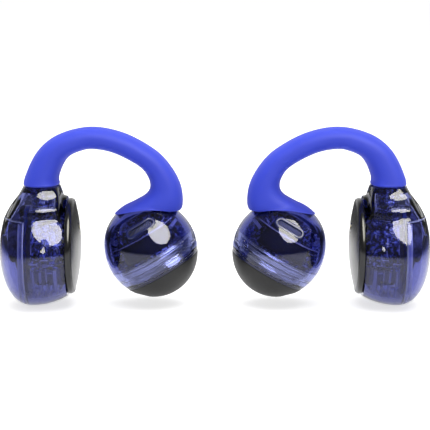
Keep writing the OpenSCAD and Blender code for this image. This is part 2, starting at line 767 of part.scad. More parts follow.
module rear_chamber() {
    h = chamber_top - ring_top;
    color([0.05, 0.06, 0.28]) ball_frame() translate([0, 0, ring_top]) rotate_extrude()
        polygon([[chamber_r - 1.5 * speaker_wall, 0], [chamber_r, 0], [chamber_top_r, h], [0, h],
            [0, h - speaker_wall], [chamber_top_r - speaker_wall / 2, h - speaker_wall]]);
}

// ------------------------------------------------------------------ assembly

for (s = SIDES) earphone(s) outer_dome();
for (s = SIDES) earphone(s) main_shell();
for (s = SIDES) earphone(s) disc_rim();
for (s = SIDES) earphone(s) disc_face();
for (s = SIDES) earphone(s) cell_frame();
for (s = SIDES) earphone(s) battery_cell();
for (s = SIDES) earphone(s) main_board();
for (s = SIDES) earphone(s) board_chips();
for (s = SIDES) earphone(s) touch_pad();
for (s = SIDES) earphone(s) case_magnet();
for (s = SIDES) earphone(s) wire_anchor();
for (s = SIDES) earphone(s) frame_screws();
for (s = SIDES) earphone(s) charge_pins();
for (s = SIDES) earphone(s) contact_window();
for (s = SIDES) earphone(s) bridge_sleeve();
for (s = SIDES) earphone(s) spring_wire();
for (s = SIDES) earphone(s) flex_cable();
for (s = SIDES) earphone(s) ball_shell();
for (s = SIDES) earphone(s) ring_band();
for (s = SIDES) earphone(s) sound_cap();
for (s = SIDES) earphone(s) saddle();
for (s = SIDES) earphone(s) ball_anchor();
for (s = SIDES) earphone(s) rear_chamber();
for (s = SIDES) earphone(s) driver_basket();
for (s = SIDES) earphone(s) driver_yoke();
for (s = SIDES) earphone(s) driver_magnet();
for (s = SIDES) earphone(s) diaphragm();
for (s = SIDES) earphone(s) vent_trim();
voice_coils();
vent_meshes();
vent_mics();
outlet_meshes();
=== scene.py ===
import json
import math
import random

import bmesh
import bpy
import numpy as np
from mathutils import Matrix, Vector


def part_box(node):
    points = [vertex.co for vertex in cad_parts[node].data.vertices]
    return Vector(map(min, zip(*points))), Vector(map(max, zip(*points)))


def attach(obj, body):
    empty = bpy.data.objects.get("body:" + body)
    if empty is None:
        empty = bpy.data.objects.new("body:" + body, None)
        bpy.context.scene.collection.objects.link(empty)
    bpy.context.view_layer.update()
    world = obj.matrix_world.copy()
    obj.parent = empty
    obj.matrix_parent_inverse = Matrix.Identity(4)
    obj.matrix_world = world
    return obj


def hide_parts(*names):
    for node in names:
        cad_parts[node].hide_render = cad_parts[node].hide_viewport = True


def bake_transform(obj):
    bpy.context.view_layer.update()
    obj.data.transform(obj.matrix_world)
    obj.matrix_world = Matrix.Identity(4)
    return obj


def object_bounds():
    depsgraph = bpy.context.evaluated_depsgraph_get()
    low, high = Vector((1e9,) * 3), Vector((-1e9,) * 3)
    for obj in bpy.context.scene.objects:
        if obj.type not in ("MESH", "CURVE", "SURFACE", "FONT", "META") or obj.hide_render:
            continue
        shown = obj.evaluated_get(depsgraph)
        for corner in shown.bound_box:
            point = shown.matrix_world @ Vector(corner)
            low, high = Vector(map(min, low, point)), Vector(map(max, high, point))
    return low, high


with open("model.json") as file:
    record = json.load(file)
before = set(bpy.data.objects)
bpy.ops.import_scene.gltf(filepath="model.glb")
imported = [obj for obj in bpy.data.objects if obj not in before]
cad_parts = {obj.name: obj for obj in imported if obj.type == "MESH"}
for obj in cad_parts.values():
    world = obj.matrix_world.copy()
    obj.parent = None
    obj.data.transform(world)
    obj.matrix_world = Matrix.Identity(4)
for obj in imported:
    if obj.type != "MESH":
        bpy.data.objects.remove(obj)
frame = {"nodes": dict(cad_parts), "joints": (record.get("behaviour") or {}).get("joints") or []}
cad_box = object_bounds()

# ---- Bridge sleeves -------------------------------------------------------------------
# The bridge of each earphone is a spring wire under a soft sleeve. The sleeve is satin
# silicone rubber, moulded in one piece from its collar at the neck to its foot on the ball.
MM = 0.001


class Signal:
    """An output of a shader node that a sum, product or comparison can be written with."""

    def __init__(self, finish, socket):
        self.finish = finish
        self.socket = socket

    def maths(self, operation, first, second):
        return self.finish.node("Math", {"operation": operation}, {0: first, 1: second})

    def __add__(self, other):
        return self.maths("ADD", self, other)

    def __radd__(self, other):
        return self.maths("ADD", other, self)

    def __sub__(self, other):
        return self.maths("SUBTRACT", self, other)

    def __rsub__(self, other):
        return self.maths("SUBTRACT", other, self)

    def __mul__(self, other):
        return self.maths("MULTIPLY", self, other)

    def __rmul__(self, other):
        return self.maths("MULTIPLY", other, self)

    def __gt__(self, other):
        return self.maths("GREATER_THAN", self, other)

    def __lt__(self, other):
        return self.maths("LESS_THAN", self, other)


class Finish:
    """A material, or a world, and the nodes that give it its look."""

    def __init__(self, name, owner=None):
        self.owner = owner or bpy.data.materials.new(name)
        self.owner.use_nodes = True
        self.tree = self.owner.node_tree
        self.tree.nodes.clear()
        self.place = None if owner else self.node("TexCoord", {}, {}, "Object")

    def node(self, kind, settings, inputs, output=0):
        made = self.tree.nodes.new("ShaderNode" + kind)
        for name, value in settings.items():
            setattr(made, name, value)
        for key, value in inputs.items():
            if isinstance(value, Signal):
                self.tree.links.new(value.socket, made.inputs[key])
            else:
                made.inputs[key].default_value = value
        return Signal(self, made.outputs[output]) if made.outputs else None

    def along(self, *axes):
        """The place along each of these axes of the object."""
        return [self.node("SeparateXYZ", {}, {"Vector": self.place}, k) for k in axes]

    def noise(self, per_mm, detail=2.0, rough=0.5):
        """Soft noise between 0 and 1, with this many waves per millimetre."""
        return self.node("TexNoise", {}, {"Vector": self.place, "Scale": per_mm / MM,
                                          "Detail": detail, "Roughness": rough}, "Fac")

    def from_to(self, value, low, high, start=0.0, end=1.0, smooth=False):
        """From start to end as the value goes from low to high, and no further."""
        return self.node("MapRange", {"interpolation_type": "SMOOTHSTEP" if smooth else "LINEAR"},
                         {"Value": value, "From Min": low, "From Max": high,
                          "To Min": start, "To Max": end})

    def highest(self, first, *others):
        for other in others:
            first = self.node("Math", {"operation": "MAXIMUM"}, {0: first, 1: other})
        return first

    def ray(self, sort):
        return self.node("LightPath", {}, {}, "Is " + sort + " Ray")

    def blend_colours(self, share, first, second):
        return self.node("Mix", {"data_type": "RGBA"},
                         {"Factor": share, 6: (*first, 1.0), 7: (*second, 1.0)}, 2)

    def bump(self, height, depth_mm, strength=1.0):
        return self.node("Bump", {}, {"Height": height, "Strength": strength,
                                      "Distance": depth_mm * MM}, "Normal")

    def surface(self, inside=None, **inputs):
        """Puts the one shader of the material together and returns the material."""
        named = {}
        for key, value in inputs.items():
            key = key.replace("_", " ").title().replace("Ior", "IOR")
            colour = isinstance(value, tuple) and key != "Subsurface Radius"
            named[key] = (*value, 1.0) if colour else value
        outlets = {"Surface": self.node("BsdfPrincipled", {}, named)}
        if inside:
            outlets["Volume"] = inside
        self.node("OutputMaterial", {}, outlets)
        return self.owner


def drifting(name, waves, shades, rough, bump=None, grain=None, span=None, **more):
    """A finish whose colour and roughness drift with one noise. Its bump follows grain's
    noise, or the same one. Span is the part of the noise over which the colour changes."""
    finish = Finish(name)
    drift = finish.noise(*waves)
    shade = finish.from_to(drift, *span) if span else drift
    if bump:
        more["normal"] = finish.bump(finish.noise(*grain) if grain else drift, *bump)
    return finish.surface(base_color=finish.blend_colours(shade, *shades),
                          roughness=rough[0] + drift * rough[1], **more)


def mesh_piece(name, shape, finish, sharp=35):
    """An object from (points, faces), smooth but for edges sharper than so many degrees."""
    mesh = bpy.data.meshes.new(name)
    mesh.from_pydata([tuple(p) for p in shape[0]], [], [tuple(f) for f in shape[1]])
    work = bmesh.new()
    work.from_mesh(mesh)
    bmesh.ops.remove_doubles(work, verts=work.verts, dist=1e-8)
    bmesh.ops.recalc_face_normals(work, faces=work.faces)
    work.to_mesh(mesh)
    work.free()
    mesh.shade_smooth()
    mesh.set_sharp_from_angle(angle=math.radians(sharp))
    piece = bpy.data.objects.new(name, mesh)
    bpy.context.scene.collection.objects.link(piece)
    if finish:
        mesh.materials.append(finish)
    return piece


def add_piece(name, shape, finish, body, node, sharp=35):
    """Adds a piece that rides on a body, and stands for the CAD node where there is one."""
    piece = mesh_piece(name, shape, finish, sharp)
    if body:
        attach(piece, body)
    if node in frame["nodes"]:
        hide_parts(node)
    return piece


def mirrored(shape):
    """The right earphone's shape from the left one's."""
    return [(-p[0], p[1], p[2]) for p in shape[0]], [tuple(reversed(f)) for f in shape[1]]


def pair_of(name, shape, finish, body="pod", sharp=35):
    """Adds a piece to both earphones, on each one's pod unless a whole body's name is given."""
    pieces = []
    for side, own in (("left_", shape), ("right_", mirrored(shape))):
        own_body = side + body if body == "pod" else body
        pieces.append(add_piece(side + name, own, finish, own_body, side + name, sharp))
    return pieces


def middle(node):
    low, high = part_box(node)
    return (low + high) / 2


def oval(count, half_width, half_depth, power=2.4):
    """Points round a superellipse."""
    points = []
    for turn in (2 * math.pi * k / count for k in range(count)):
        c, s = math.cos(turn), math.sin(turn)
        points.append((half_width * math.copysign(abs(c) ** (2 / power), c),
                       half_depth * math.copysign(abs(s) ** (2 / power), s)))
    return points


ball_parts = [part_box("left_" + n) for n in ("ball_shell", "ring_band", "sound_cap")]
ball_middle = (Vector([min(b[0][i] for b in ball_parts) for i in range(3)])
               + Vector([max(b[1][i] for b in ball_parts) for i in range(3)])) / 2
ball_r = 6.75 * MM
ball_half = 7.25 * MM
ball_tilt = math.radians(30)
ball_place = Matrix.Translation(ball_middle) @ Matrix.Rotation(-ball_tilt, 4, "Y")
saddle_t = 0.15 * MM
foot_lift = saddle_t + 0.04 * MM

neck_axis, neck_over_anchor = middle("left_wire_anchor").x, 0.9 * MM
neck_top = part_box("left_wire_anchor")[1].z + neck_over_anchor
neck_w, neck_depth = 5.2 * MM, 7.8 * MM
arch = Vector(frame["joints"][0]["pos_m"])
arch_t, arch_depth = 3.2 * MM, 6.4 * MM
ankle_x = middle("left_ball_anchor").x
ankle_t, ankle_rise, foot_depth = 4.6 * MM, 2 * MM, 6.6 * MM
heel_angle, toe_angle = math.radians(38), math.radians(45)


def ball_radius(lean):
    """Radius of the ball in the direction that leans this far from the vertical."""
    a = lean + ball_tilt
    return 1 / math.sqrt((math.cos(a) / ball_half) ** 2 + (math.sin(a) / ball_r) ** 2)


def clear_of_ball(point):
    """The point, or the nearest one just over the saddle if it lies lower."""
    q = ball_place.inverted() @ Vector(point)
    reach = math.sqrt((q.z / (ball_half + foot_lift)) ** 2
                      + (q.x ** 2 + q.y ** 2) / (ball_r + foot_lift) ** 2)
    return ball_place @ (q / reach) if reach < 1 else Vector(point)


def over_ball(lean, rise):
    r = ball_radius(lean) + foot_lift + rise * MM
    return ball_middle.x + r * math.sin(lean), ball_middle.z + r * math.cos(lean)


# Stations on the way from the neck to the top and from the top to the ankle: shares of
# the way along X and Z, heading of the section's outer edge, share of the change in size
NECK_TO_TOP = [(0, 0, 180, 0), (0.01, 0.2, 180, 0.17), (0.2, 0.62, 171, 0.3),
               (0.39, 0.8, 156, 0.43), (0.6, 0.91, 139, 0.65)]
TOP_TO_ANKLE = [(0, 0, 93, 0), (0.38, 0.11, 60, 0.02), (0.76, 0.42, 43, 0.06),
                (0.88, 0.61, 30, 0.22), (0.96, 0.81, 17, 0.5), (1, 1, 4, 1)]


def bridge_station(start, end, station):
    """A row: outer edge, inner edge, depth and channel's middle of one section."""
    shares = (station[0], station[1], station[3], station[3])
    x, z, t, depth = [a + (b - a) * share for a, b, share in zip(start, end, shares)]
    heading = math.radians(station[2])
    ex, ez = t / 2 * math.cos(heading), t / 2 * math.sin(heading)
    return [x + ex, z + ez, x - ex, z - ez, depth, x, z]


ankle_z = ball_middle.z + ball_radius(0) + ankle_rise
sole_z = over_ball(math.asin((ankle_x - ball_middle.x) / ball_radius(0)), 0)[1]


def foot_station(heel, heel_rise, toe, toe_rise, spread, down):
    """A row of the foot: how far it is spread past its depth, and its share of the way down."""
    return [*over_ball(heel, heel_rise), *over_ball(-toe, toe_rise), foot_depth + spread * MM,
            ankle_x, ankle_z + (sole_z - ankle_z) * down]


neck_end = (neck_axis, neck_top + 0.15 * MM, neck_w, neck_depth)
top_end = (arch.x, arch.z, arch_t, arch_depth)
ankle_end = (ankle_x, ankle_z, ankle_t, foot_depth)
stations = [bridge_station(neck_end, top_end, s) for s in NECK_TO_TOP]
stations += [bridge_station(top_end, ankle_end, s) for s in TOP_TO_ANKLE]
stations += [foot_station(heel_angle - math.radians(4), 1.5, math.radians(5), 0.5, 0.2, 0.4),
             foot_station(heel_angle, 0.6, toe_angle * 0.45, 0.1, 0.3, 0.7),
             foot_station(heel_angle - math.radians(3), 0, toe_angle, 0, 0, 0.9)]


def smooth_rows(rows, steps):
    """A Catmull-Rom curve through the rows, with so many steps from one to the next."""
    rows = np.array(rows)
    out = []
    for i in range(len(rows) - 1):
        a, b, c = rows[max(i - 1, 0)], rows[i], rows[i + 1]
        d = rows[min(i + 2, len(rows) - 1)]
        for t in (k / steps for k in range(steps)):
            out.append(0.5 * (2 * b + (c - a) * t + (2 * a - 5 * b + 4 * c - d) * t ** 2
                              + (3 * b - a - 3 * c + d) * t ** 3))
    return out + [rows[-1]]


def faired(rows, reach, count=96):
    """The rows spaced evenly along the bridge, each averaged over this reach, its ends kept."""
    rows = np.array(rows)
    steps = np.hypot(*np.diff((rows[:, :2] + rows[:, 2:4]) / 2, axis=0).T)
    way = np.concatenate([[0], np.cumsum(steps)])
    even = np.linspace(0, way[-1], count)
    spread = np.array([np.interp(even, way, column) for column in rows.T]).T
    out = []
    for at in even:
        own_reach = min(reach, at / 2, (way[-1] - at) / 2) + 1e-9
        weight = np.exp(-0.5 * ((even - at) / own_reach) ** 2)
        out.append((spread * weight[:, None]).sum(0) / weight.sum())
    return out


def bridge_ring(row, inset, rise=0.0, corners=56):
    """Corners round one section of the bridge, this far inside its surface."""
    out_x, out_z, in_x, in_z, depth = row[:5]
    width = math.hypot(out_x - in_x, out_z - in_z)
    ux, uz = (out_x - in_x) / width, (out_z - in_z) / width
    corner_points = [clear_of_ball(((out_x + in_x) / 2 + p * ux, y, (out_z + in_z) / 2 + p * uz))
                     for p, y in oval(corners, width / 2 - inset, depth / 2 - inset)]
    return [p + Vector((0, 0, rise)) for p in corner_points]


def loft(rings, closed=False):
    """A skin over rings of equal count. Unless closed, its two ends are filled."""
    n = len(rings[0])
    points = [p for ring in rings for p in ring]
    faces = []
    for i in range(len(rings) if closed else len(rings) - 1):
        j = (i + 1) % len(rings)
        for k in range(n):
            m = (k + 1) % n
            faces.append((i * n + k, i * n + m, j * n + m, j * n + k))
    if not closed:
        faces.append(tuple(range(n)))
        faces.append(tuple((len(rings) - 1) * n + k for k in range(n)))
    return points, faces


bridge_rows = faired(smooth_rows(stations, 8), 0.9 * MM)
edge_round, collar_lip, sole_lip = 0.22 * MM, 1.2 * MM, 1.5 * MM
edge_start = edge_round * 0.3
collar = [bridge_ring(bridge_rows[0], inset, rise) for inset, rise in (
    (collar_lip, 0), (edge_round, 0), (edge_start, edge_start), (0, edge_round))]
sole = [bridge_ring(bridge_rows[-1], inset)
        for inset in (edge_start, edge_round, 0.6 * sole_lip, sole_lip)]
sleeve_rings = collar + [bridge_ring(row, 0) for row in bridge_rows[1:]] + sole
bend_from, bend_to = -14.2 * MM, -23.6 * MM


def bridge_pair(name, shape, finish):
    """A pair of pieces along the bridges between the balls and the pods, each one's placing baked into
    its mesh.
    """
    left, right = pair_of(name, shape, finish, None)
    for piece, pod, sign in ((left, "left_pod", 1), (right, "right_pod", -1)):
        sign * bend_from
        sign * bend_to
        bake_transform(piece)


silicone = drifting(
    "blue_silicone", (0.12, 3), [(0.052, 0.082, 0.77), (0.063, 0.098, 0.85)], (0.54, 0.08),
    bump=(0.006, 0.5), grain=(9.0, 2), specular_ior_level=0.16,
    sheen_weight=0.25, sheen_roughness=0.45, sheen_tint=(0.50, 0.56, 1.0),
    subsurface_weight=0.12, subsurface_radius=(0.3, 0.35, 1.0), subsurface_scale=0.8 * MM)
bridge_pair("bridge_sleeve", loft(sleeve_rings), silicone)

# ---- Spring wires and flexible cables -------------------------------------------------
# Inside each sleeve a hardened steel wire gives the grip, and a polyimide ribbon carries
# the sound and the microphone from pod to ball. Both end in the neck and in the ball.
steel_glint = 1.25
wire_r, wire_side = 0.5 * MM, -0.7 * MM
cable_w, cable_t, cable_side = 1.1 * MM, 0.25 * MM, 0.75 * MM
track_pitch = 0.28 * MM
strip_end = ball_middle.z + 4.4 * MM


def steel_finish(name, shade, rough):
    return drifting(name, (2.0, 4), [shade, tuple(c * steel_glint for c in shade)], (rough, 0.12),
                    bump=(0.004, 0.4), grain=(6.0, 3), metallic=1.0)


def ribbon_finish():
    finish = Finish("copper_flex")
    across, = finish.along(1)
    track = finish.node("Math", {"operation": "SINE"}, {0: across * (2 * math.pi / track_pitch)})
    copper = track > 0.1
    return finish.surface(
        base_color=finish.blend_colours(copper, (0.42, 0.17, 0.03), (0.62, 0.3, 0.08)),
        metallic=copper * 0.6, roughness=0.35, normal=finish.bump(track, 0.01, 0.5))


def strip(low, y, half_w, half_d, corners, power):
    """A rod or ribbon in the bridge's channel, from this height in the neck to the ball."""
    line = [(neck_axis, low)] + [(r[5], r[6]) for r in bridge_rows] + [(ankle_x, strip_end)]
    line = [np.array(p) for p in line]
    rings = []
    for i, p in enumerate(line):
        along = line[min(i + 1, len(line) - 1)] - line[max(i - 1, 0)]
        along = along / np.linalg.norm(along)
        rings.append([(p[0] - along[1] * u, y + v, p[1] + along[0] * u)
                      for u, v in oval(corners, half_w, half_d, power)])
    return loft(rings)


steel = steel_finish("spring_steel", (0.42, 0.42, 0.45), 0.25)
wire = strip(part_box("left_spring_wire")[0].z, wire_side, wire_r, wire_r, 20, 2)
cable = strip(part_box("left_flex_cable")[0].z, cable_side, cable_t / 2, cable_w / 2, 16, 5)
bridge_pair("spring_wire", wire, steel)
bridge_pair("flex_cable", cable, ribbon_finish())

# ---- Pod shells -----------------------------------------------------------------------
# Each pod is two polished mouldings of tinted polycarbonate: a domed cap on the outer side,
# and a shell whose neck carries the bridge. They are welded together at the parting line.
dome_low, dome_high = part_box("left_outer_dome")
pod_tip, parting = dome_low.x, dome_high.x
shell_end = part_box("left_disc_rim")[0].x
pod_r = (dome_high.y - dome_low.y) / 2
pod_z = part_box("left_main_shell")[0].z + pod_r
pod_wall = 0.9 * MM
dome_depth = parting - pod_tip
rear_reach = 9.1 * MM
dome_power = 2.2
pod_centre = np.array([parting, 0.0, pod_z])
shoulder_at = np.array([shell_end - 0.2 * MM, 0, pod_z + 6.15 * MM])
shoulder_size = np.array([1.7, 2.6, 1.85]) * MM
neck_lean, neck_spread, neck_crown = 0.15, 0.37, 4.9 * MM
notch_t = 0.03 * MM
clear_tint = (0.26, 0.30, 0.68)


def clear_finish(name, tint, depth_tint):
    """Polished clear plastic with a tint that deepens over each millimetre that light crosses."""
    finish = Finish(name)
    dye = finish.node("VolumeAbsorption", {}, {"Color": (*depth_tint, 1.0), "Density": 1.0 / MM})
    return finish.surface(
        dye, base_color=tint, roughness=0.01 + finish.noise(0.25, 4) * 0.03, ior=1.5,
        transmission_weight=1.0, specular_ior_level=0.5,
        normal=finish.bump(finish.noise(0.18, 1), 0.03, 0.35))


def smooth_lower(a, b, width):
    """The lower of two distances, rounded over this width where they meet."""
    h = np.clip(0.5 + 0.5 * (b - a) / width, 0, 1)
    return b + (a - b) * h - width * h * (1 - h)


def body_distance(axial, radial, inset):
    """Distance to the pod's round body, dome and rear, given along and off its axis."""
    depth = np.where(axial < 0, dome_depth - inset, rear_reach)
    power = np.where(axial < 0, dome_power, 2.0)
    share = ((radial / (pod_r - inset)) ** power + (np.abs(axial) / depth) ** power) ** (1 / power)
    return np.hypot(axial, radial) * (1 - 1 / np.maximum(share, 1e-6))


def neck_distance(x, y, z, inset):
    """Distance to the neck, which widens downward to meet the body and is crowned in front."""
    drop = np.clip(neck_top - z, 0, 4.8 * MM)
    flare = smooth_lower(0.04 * drop + 0.29 * drop ** 2 / MM, 2.36 * MM, 0.7 * MM)
    half_w = neck_w / 2 + neck_spread * drop - 0.6 * inset
    half_d = neck_depth / 2 + flare - 0.6 * inset
    corner = 2.4 + 1.6 * np.minimum(drop / MM, 1.0)
    side = ((np.abs(x - neck_axis + neck_lean * drop) / half_w) ** corner
            + (np.abs(y) / half_d) ** corner) ** (1 / corner)
    crown = np.abs(y) - half_d + 0.1 * MM + (x - neck_axis + 0.6 * MM) ** 2 / (2 * neck_crown)
    neck = np.maximum(np.maximum((side - 1) * half_w, crown), z - neck_top - 1.2 * MM + 2.2 * inset)
    return np.maximum(neck, pod_z + 3.0 * MM - z)


def pod_distance(points, inset):
    """About how far outside a pod's wall each point lies, this far inside its surface."""
    x, y, z = points[..., 0], points[..., 1], points[..., 2]
    body = body_distance(x - parting, np.hypot(y, z - pod_z), inset)
    rounding = 0.3 * MM + 0.8 * MM * np.clip(1 - np.abs(y) / (4 * MM), 0, 1)
    shell = smooth_lower(body, neck_distance(x, y, z, inset), rounding)
    lump = np.linalg.norm((points - shoulder_at) / shoulder_size, axis=-1)
    return smooth_lower(shell, (lump - 1) * shoulder_size.min() + 4 * inset, 0.8 * MM)


def closed_in(near, far, is_far, steps):
    """The values between near and far at which is_far turns true, by halving."""
    for _ in range(steps):
        half = (near + far) / 2
        past = is_far(half)
        near, far = np.where(past, near, half), np.where(past, half, far)
    return near


def pod_surface(directions, inset):
    """Where rays from the pod's centre meet its surface, this far inside the outside."""
    flat = np.ones(directions.shape[:-1])
    reach = closed_in(0.5 * MM * flat, 16 * MM * flat, lambda r: pod_distance(
        pod_centre + directions * r[..., None], inset) > 0, 34)
    return pod_centre + directions * reach[..., None]


def headings(tilt, turn):
    """Directions at an angle from the way to the dome's tip, at a turn round the pod's axis."""
    tilt, turn = np.broadcast_arrays(tilt, turn)
    return np.stack([-np.cos(tilt), np.sin(tilt) * np.sin(turn), np.sin(tilt) * np.cos(turn)], -1)


pod_turns = 240
turns = np.arange(pod_turns) * 2 * math.pi / pod_turns

# The parting line runs round the pod and turns level below the neck, out to the dome
seam_height, seam_back, seam_gap = 5.2 * MM, math.radians(85), 0.01 * MM / pod_r
level = np.minimum(seam_height / np.maximum(np.cos(turns), 0.05), pod_r * 0.999)
level_depth = dome_depth * (1 - (level / pod_r) ** dome_power) ** (1 / dome_power)
seam_tilt = np.minimum(np.arctan2(level, level_depth), seam_back)
dimple_x, dimple_z = parting + 2.4 * MM, pod_z + 1.8 * MM
dimple_w, dimple_h, dimple_t = 0.75 * MM, 1.1 * MM, 0.26 * MM


def pod_rings(tilts, inset):
    return [[tuple(p) for p in row] for row in pod_surface(headings(tilts, turns[None, :]), inset)]


def dome_rings(inset):
    return pod_rings(seam_tilt[None, :] * ((np.arange(1, 57) / 56) ** 0.85)[:, None], inset)


def shell_rings(inset, rows=96):
    """Rings from the parting line to the plane at which the disc begins."""
    last = closed_in(np.full(turns.shape, math.pi / 2), np.full(turns.shape, math.pi * 0.93),
                     lambda tilt: pod_surface(headings(tilt, turns), inset)[..., 0] > shell_end, 26)
    first = seam_tilt + seam_gap
    return pod_rings(first + (last - first) * np.linspace(0, 1, rows)[:, None], inset)


def notch_edge(rings, index):
    """Draws one ring in towards the pod's axis, for the small groove at the parting line."""
    share = 1 - notch_t / pod_r
    rings[index] = [(x, y * share, pod_z + (z - pod_z) * share) for x, y, z in rings[index]]


def dome_shape():
    outer, inner = dome_rings(0.0), dome_rings(pod_wall)
    notch_edge(outer, -1)
    points, faces = loft(outer + inner[::-1])
    tip, last = len(points), len(points) - pod_turns
    faces = faces[:-2]
    points += [(pod_tip, 0, pod_z), (pod_tip + pod_wall, 0, pod_z)]
    for k in range(pod_turns):
        m = (k + 1) % pod_turns
        faces += [(tip, m, k), (tip + 1, last + k, last + m)]
    return points, faces


def cut_level(shape, height):
    """The part of a shape below a height, closed there."""
    work = bmesh.new()
    made = [work.verts.new(p) for p in shape[0]]
    for f in shape[1]:
        work.faces.new([made[i] for i in f])
    bmesh.ops.bisect_plane(work, geom=work.verts[:] + work.edges[:] + work.faces[:],
                           plane_co=(0, 0, height), plane_no=(0, 0, 1), clear_outer=True)
    bmesh.ops.holes_fill(work, edges=[e for e in work.edges if e.is_boundary], sides=0)
    work.verts.index_update()
    points = [tuple(v.co) for v in work.verts]
    faces = [tuple(v.index for v in f.verts) for f in work.faces]
    work.free()
    return points, faces


def dimpled(rings):
    """The rings with a small oval dimple in front, over the frame's first screw."""
    out = []
    for ring in rings:
        p = np.array(ring)
        away = np.hypot((p[:, 0] - dimple_x) / dimple_w, (p[:, 2] - dimple_z) / dimple_h)
        depth = np.where(p[:, 1] < 0, dimple_t * np.maximum(0, 1 - away ** 2) ** 2, 0)
        p[:, 1:] -= (p[:, 1:] - (0, pod_z)) * (depth / pod_r)[:, None]
        out.append([tuple(q) for q in p])
    return out


def main_shell_shape():
    outer, inner = dimpled(shell_rings(0.0)), shell_rings(pod_wall)
    notch_edge(outer, 0)
    return cut_level(loft(outer + inner[::-1], closed=True), neck_top)


clear_shell = clear_finish("tinted_clear", (0.50, 0.52, 0.76), clear_tint)
pair_of("outer_dome", dome_shape(), clear_shell)
pair_of("main_shell", main_shell_shape(), clear_shell, sharp=50)

# A thin pale bead lies in the joint between the two mouldings. Its pale colour is a painted highlight,
# for the bright line along the joint.
bead_r, bead_deep = 0.13 * MM, 0.45 * MM
bead_line = [Vector(p) for p in pod_surface(headings(seam_tilt, turns), bead_deep)]
bead_rings = []
for k in range(0, pod_turns, 2):
    along = (bead_line[(k + 2) % pod_turns] - bead_line[k - 2]).normalized()
    out = (bead_line[k] - Vector(pod_centre)).normalized()
    side = along.cross(out)
    bead_rings.append([bead_line[k] + u * out + v * side for u, v in oval(8, bead_r, bead_r, 2)])
# Pale blue to near white: a painted highlight, for the seam's bright line and the contact tabs' bright
# specks
painted_highlight_pale = drifting("seam_highlight_bead", (2.5, 3), [(0.42, 0.45, 0.80), (0.92, 0.93, 1.0)], (0.25, 0.2),
                     bump=(0.03, 0.6))
pair_of("seam_highlight_bead", loft(bead_rings, closed=True), painted_highlight_pale)

# ---- Discs ----------------------------------------------------------------------------
# A black moulded ring closes each pod on the ear's side and holds a crowned face of satin
# aluminium. Near the face's edge a glossy window carries the two charging pins.


def lathe(outline, turns_round=128):
    """A solid of revolution about Z from a closed outline of (radius, height) points."""
    points, rings, faces = [], [], []
    for r, z in outline:
        count = turns_round if r > 1e-9 else 1
        rings.append(list(range(len(points), len(points) + count)))
        points += [(r * math.cos(a), r * math.sin(a), z)
                   for a in (2 * math.pi * k / count for k in range(count))]
    for low, high in zip(rings, rings[1:] + rings[:1]):
        for k in range(turns_round):
            corners = [ring[j % len(ring)] for ring, j in
                       ((low, k), (low, k + 1), (high, k + 1), (high, k))]
            face = tuple(dict.fromkeys(corners))
            if len(face) > 2:
                faces.append(face)
    return points, faces


def eased(outline, radius, steps=4):
    """A closed outline with its corners off the axis rounded."""
    out = []
    for i, p in enumerate(outline):
        if abs(p[0]) < 1e-9:
            out.append(p)
            continue
        p = np.array(p)
        a, b = np.array(outline[i - 1]) - p, np.array(outline[(i + 1) % len(outline)]) - p
        la, lb = np.linalg.norm(a), np.linalg.norm(b)
        reach = min(radius, la * 0.45, lb * 0.45)
        first, second = p + a / la * reach, p + b / lb * reach
        for t in (k / steps for k in range(steps + 1)):
            out.append(tuple((1 - t) ** 2 * first + 2 * t * (1 - t) * p + t ** 2 * second))
    return out


def placed(shape, matrix):
    return [tuple(matrix @ Vector(p)) for p in shape[0]], shape[1]


def joined(*shapes):
    points, faces = [], []
    for more_points, more_faces in shapes:
        faces += [tuple(i + len(points) for i in f) for f in more_faces]
        points += more_points
    return points, faces


def facing_ear(x, z):
    """A frame on a plane across the pod's axis, its own Z along that axis to the ear."""
    return Matrix.Translation((x, 0, z)) @ Matrix.Rotation(math.pi / 2, 4, "Y")


def moulded_finish(name, shade, rough, grain_mm=0.012, per_mm=6.0, shine=0.5):
    """Moulded plastic with a fine spark-eroded grain."""
    finish = Finish(name)
    grain = finish.noise(per_mm, 3)
    return finish.surface(
        base_color=finish.blend_colours(finish.noise(0.3, 3), shade, tuple(c * 1.3 for c in shade)),
        roughness=rough - 0.06 + grain * 0.12, specular_ior_level=shine,
        normal=finish.bump(grain, grain_mm, 0.6))


disc_low, disc_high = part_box("left_disc_rim")
disc_h = disc_high.x - disc_low.x
disc_r = (disc_high.y - disc_low.y) / 2
disc_place = facing_ear(disc_low.x, (disc_low.z + disc_high.z) / 2)
disc_edge, disc_floor = 0.35 * MM, 0.45 * MM
face_t, face_seat, face_edge = 0.35 * MM, 0.15 * MM, 0.08 * MM
face_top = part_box("left_disc_face")[1].x - disc_low.x
face_crown = face_top - (disc_h - face_seat)
face_r = disc_r - disc_edge - face_edge

# The rim's side: distance in from its radius, and height
RIM_SIDE = [(0.3, 0), (0.08, 0.14), (0, 0.4), (0.02, 0.6), (0.12, 0.8)]
rim_outline = ([(0, 0)] + [(disc_r - a * MM, z * MM) for a, z in RIM_SIDE]
               + [(disc_r - disc_edge, disc_h), (disc_r - disc_edge, disc_floor), (0, disc_floor)])


def face_height(r):
    return face_top - (face_crown - 0.1 * MM) * (r / face_r) ** 2


face_steps = [face_r * k / 20 for k in range(21)]
face_outline = [(r, face_height(r)) for r in face_steps[:-1]]
face_outline += [(face_r - face_edge, face_height(face_r - 0.1 * MM)),
                 (face_r, face_height(face_r) - face_edge)]
face_outline += [(r, face_height(r) - face_t) for r in reversed(face_steps)]
black = moulded_finish("black_plastic", (0.012, 0.012, 0.014), 0.38)
rim_black = moulded_finish("rim_black", (0.010, 0.010, 0.011), 0.16, 0.002)
satin = drifting("satin_metal", (0.5, 3), [(0.019, 0.019, 0.019), (0.029, 0.029, 0.029)],
                 (0.22, 0.06), bump=(0.004, 0.5), grain=(14.0, 2), metallic=0.3)
pair_of("disc_rim", placed(lathe(eased(rim_outline, 0.14 * MM)), disc_place), rim_black,
        sharp=50)
pair_of("disc_face", placed(lathe(face_outline), disc_place), satin, sharp=60)

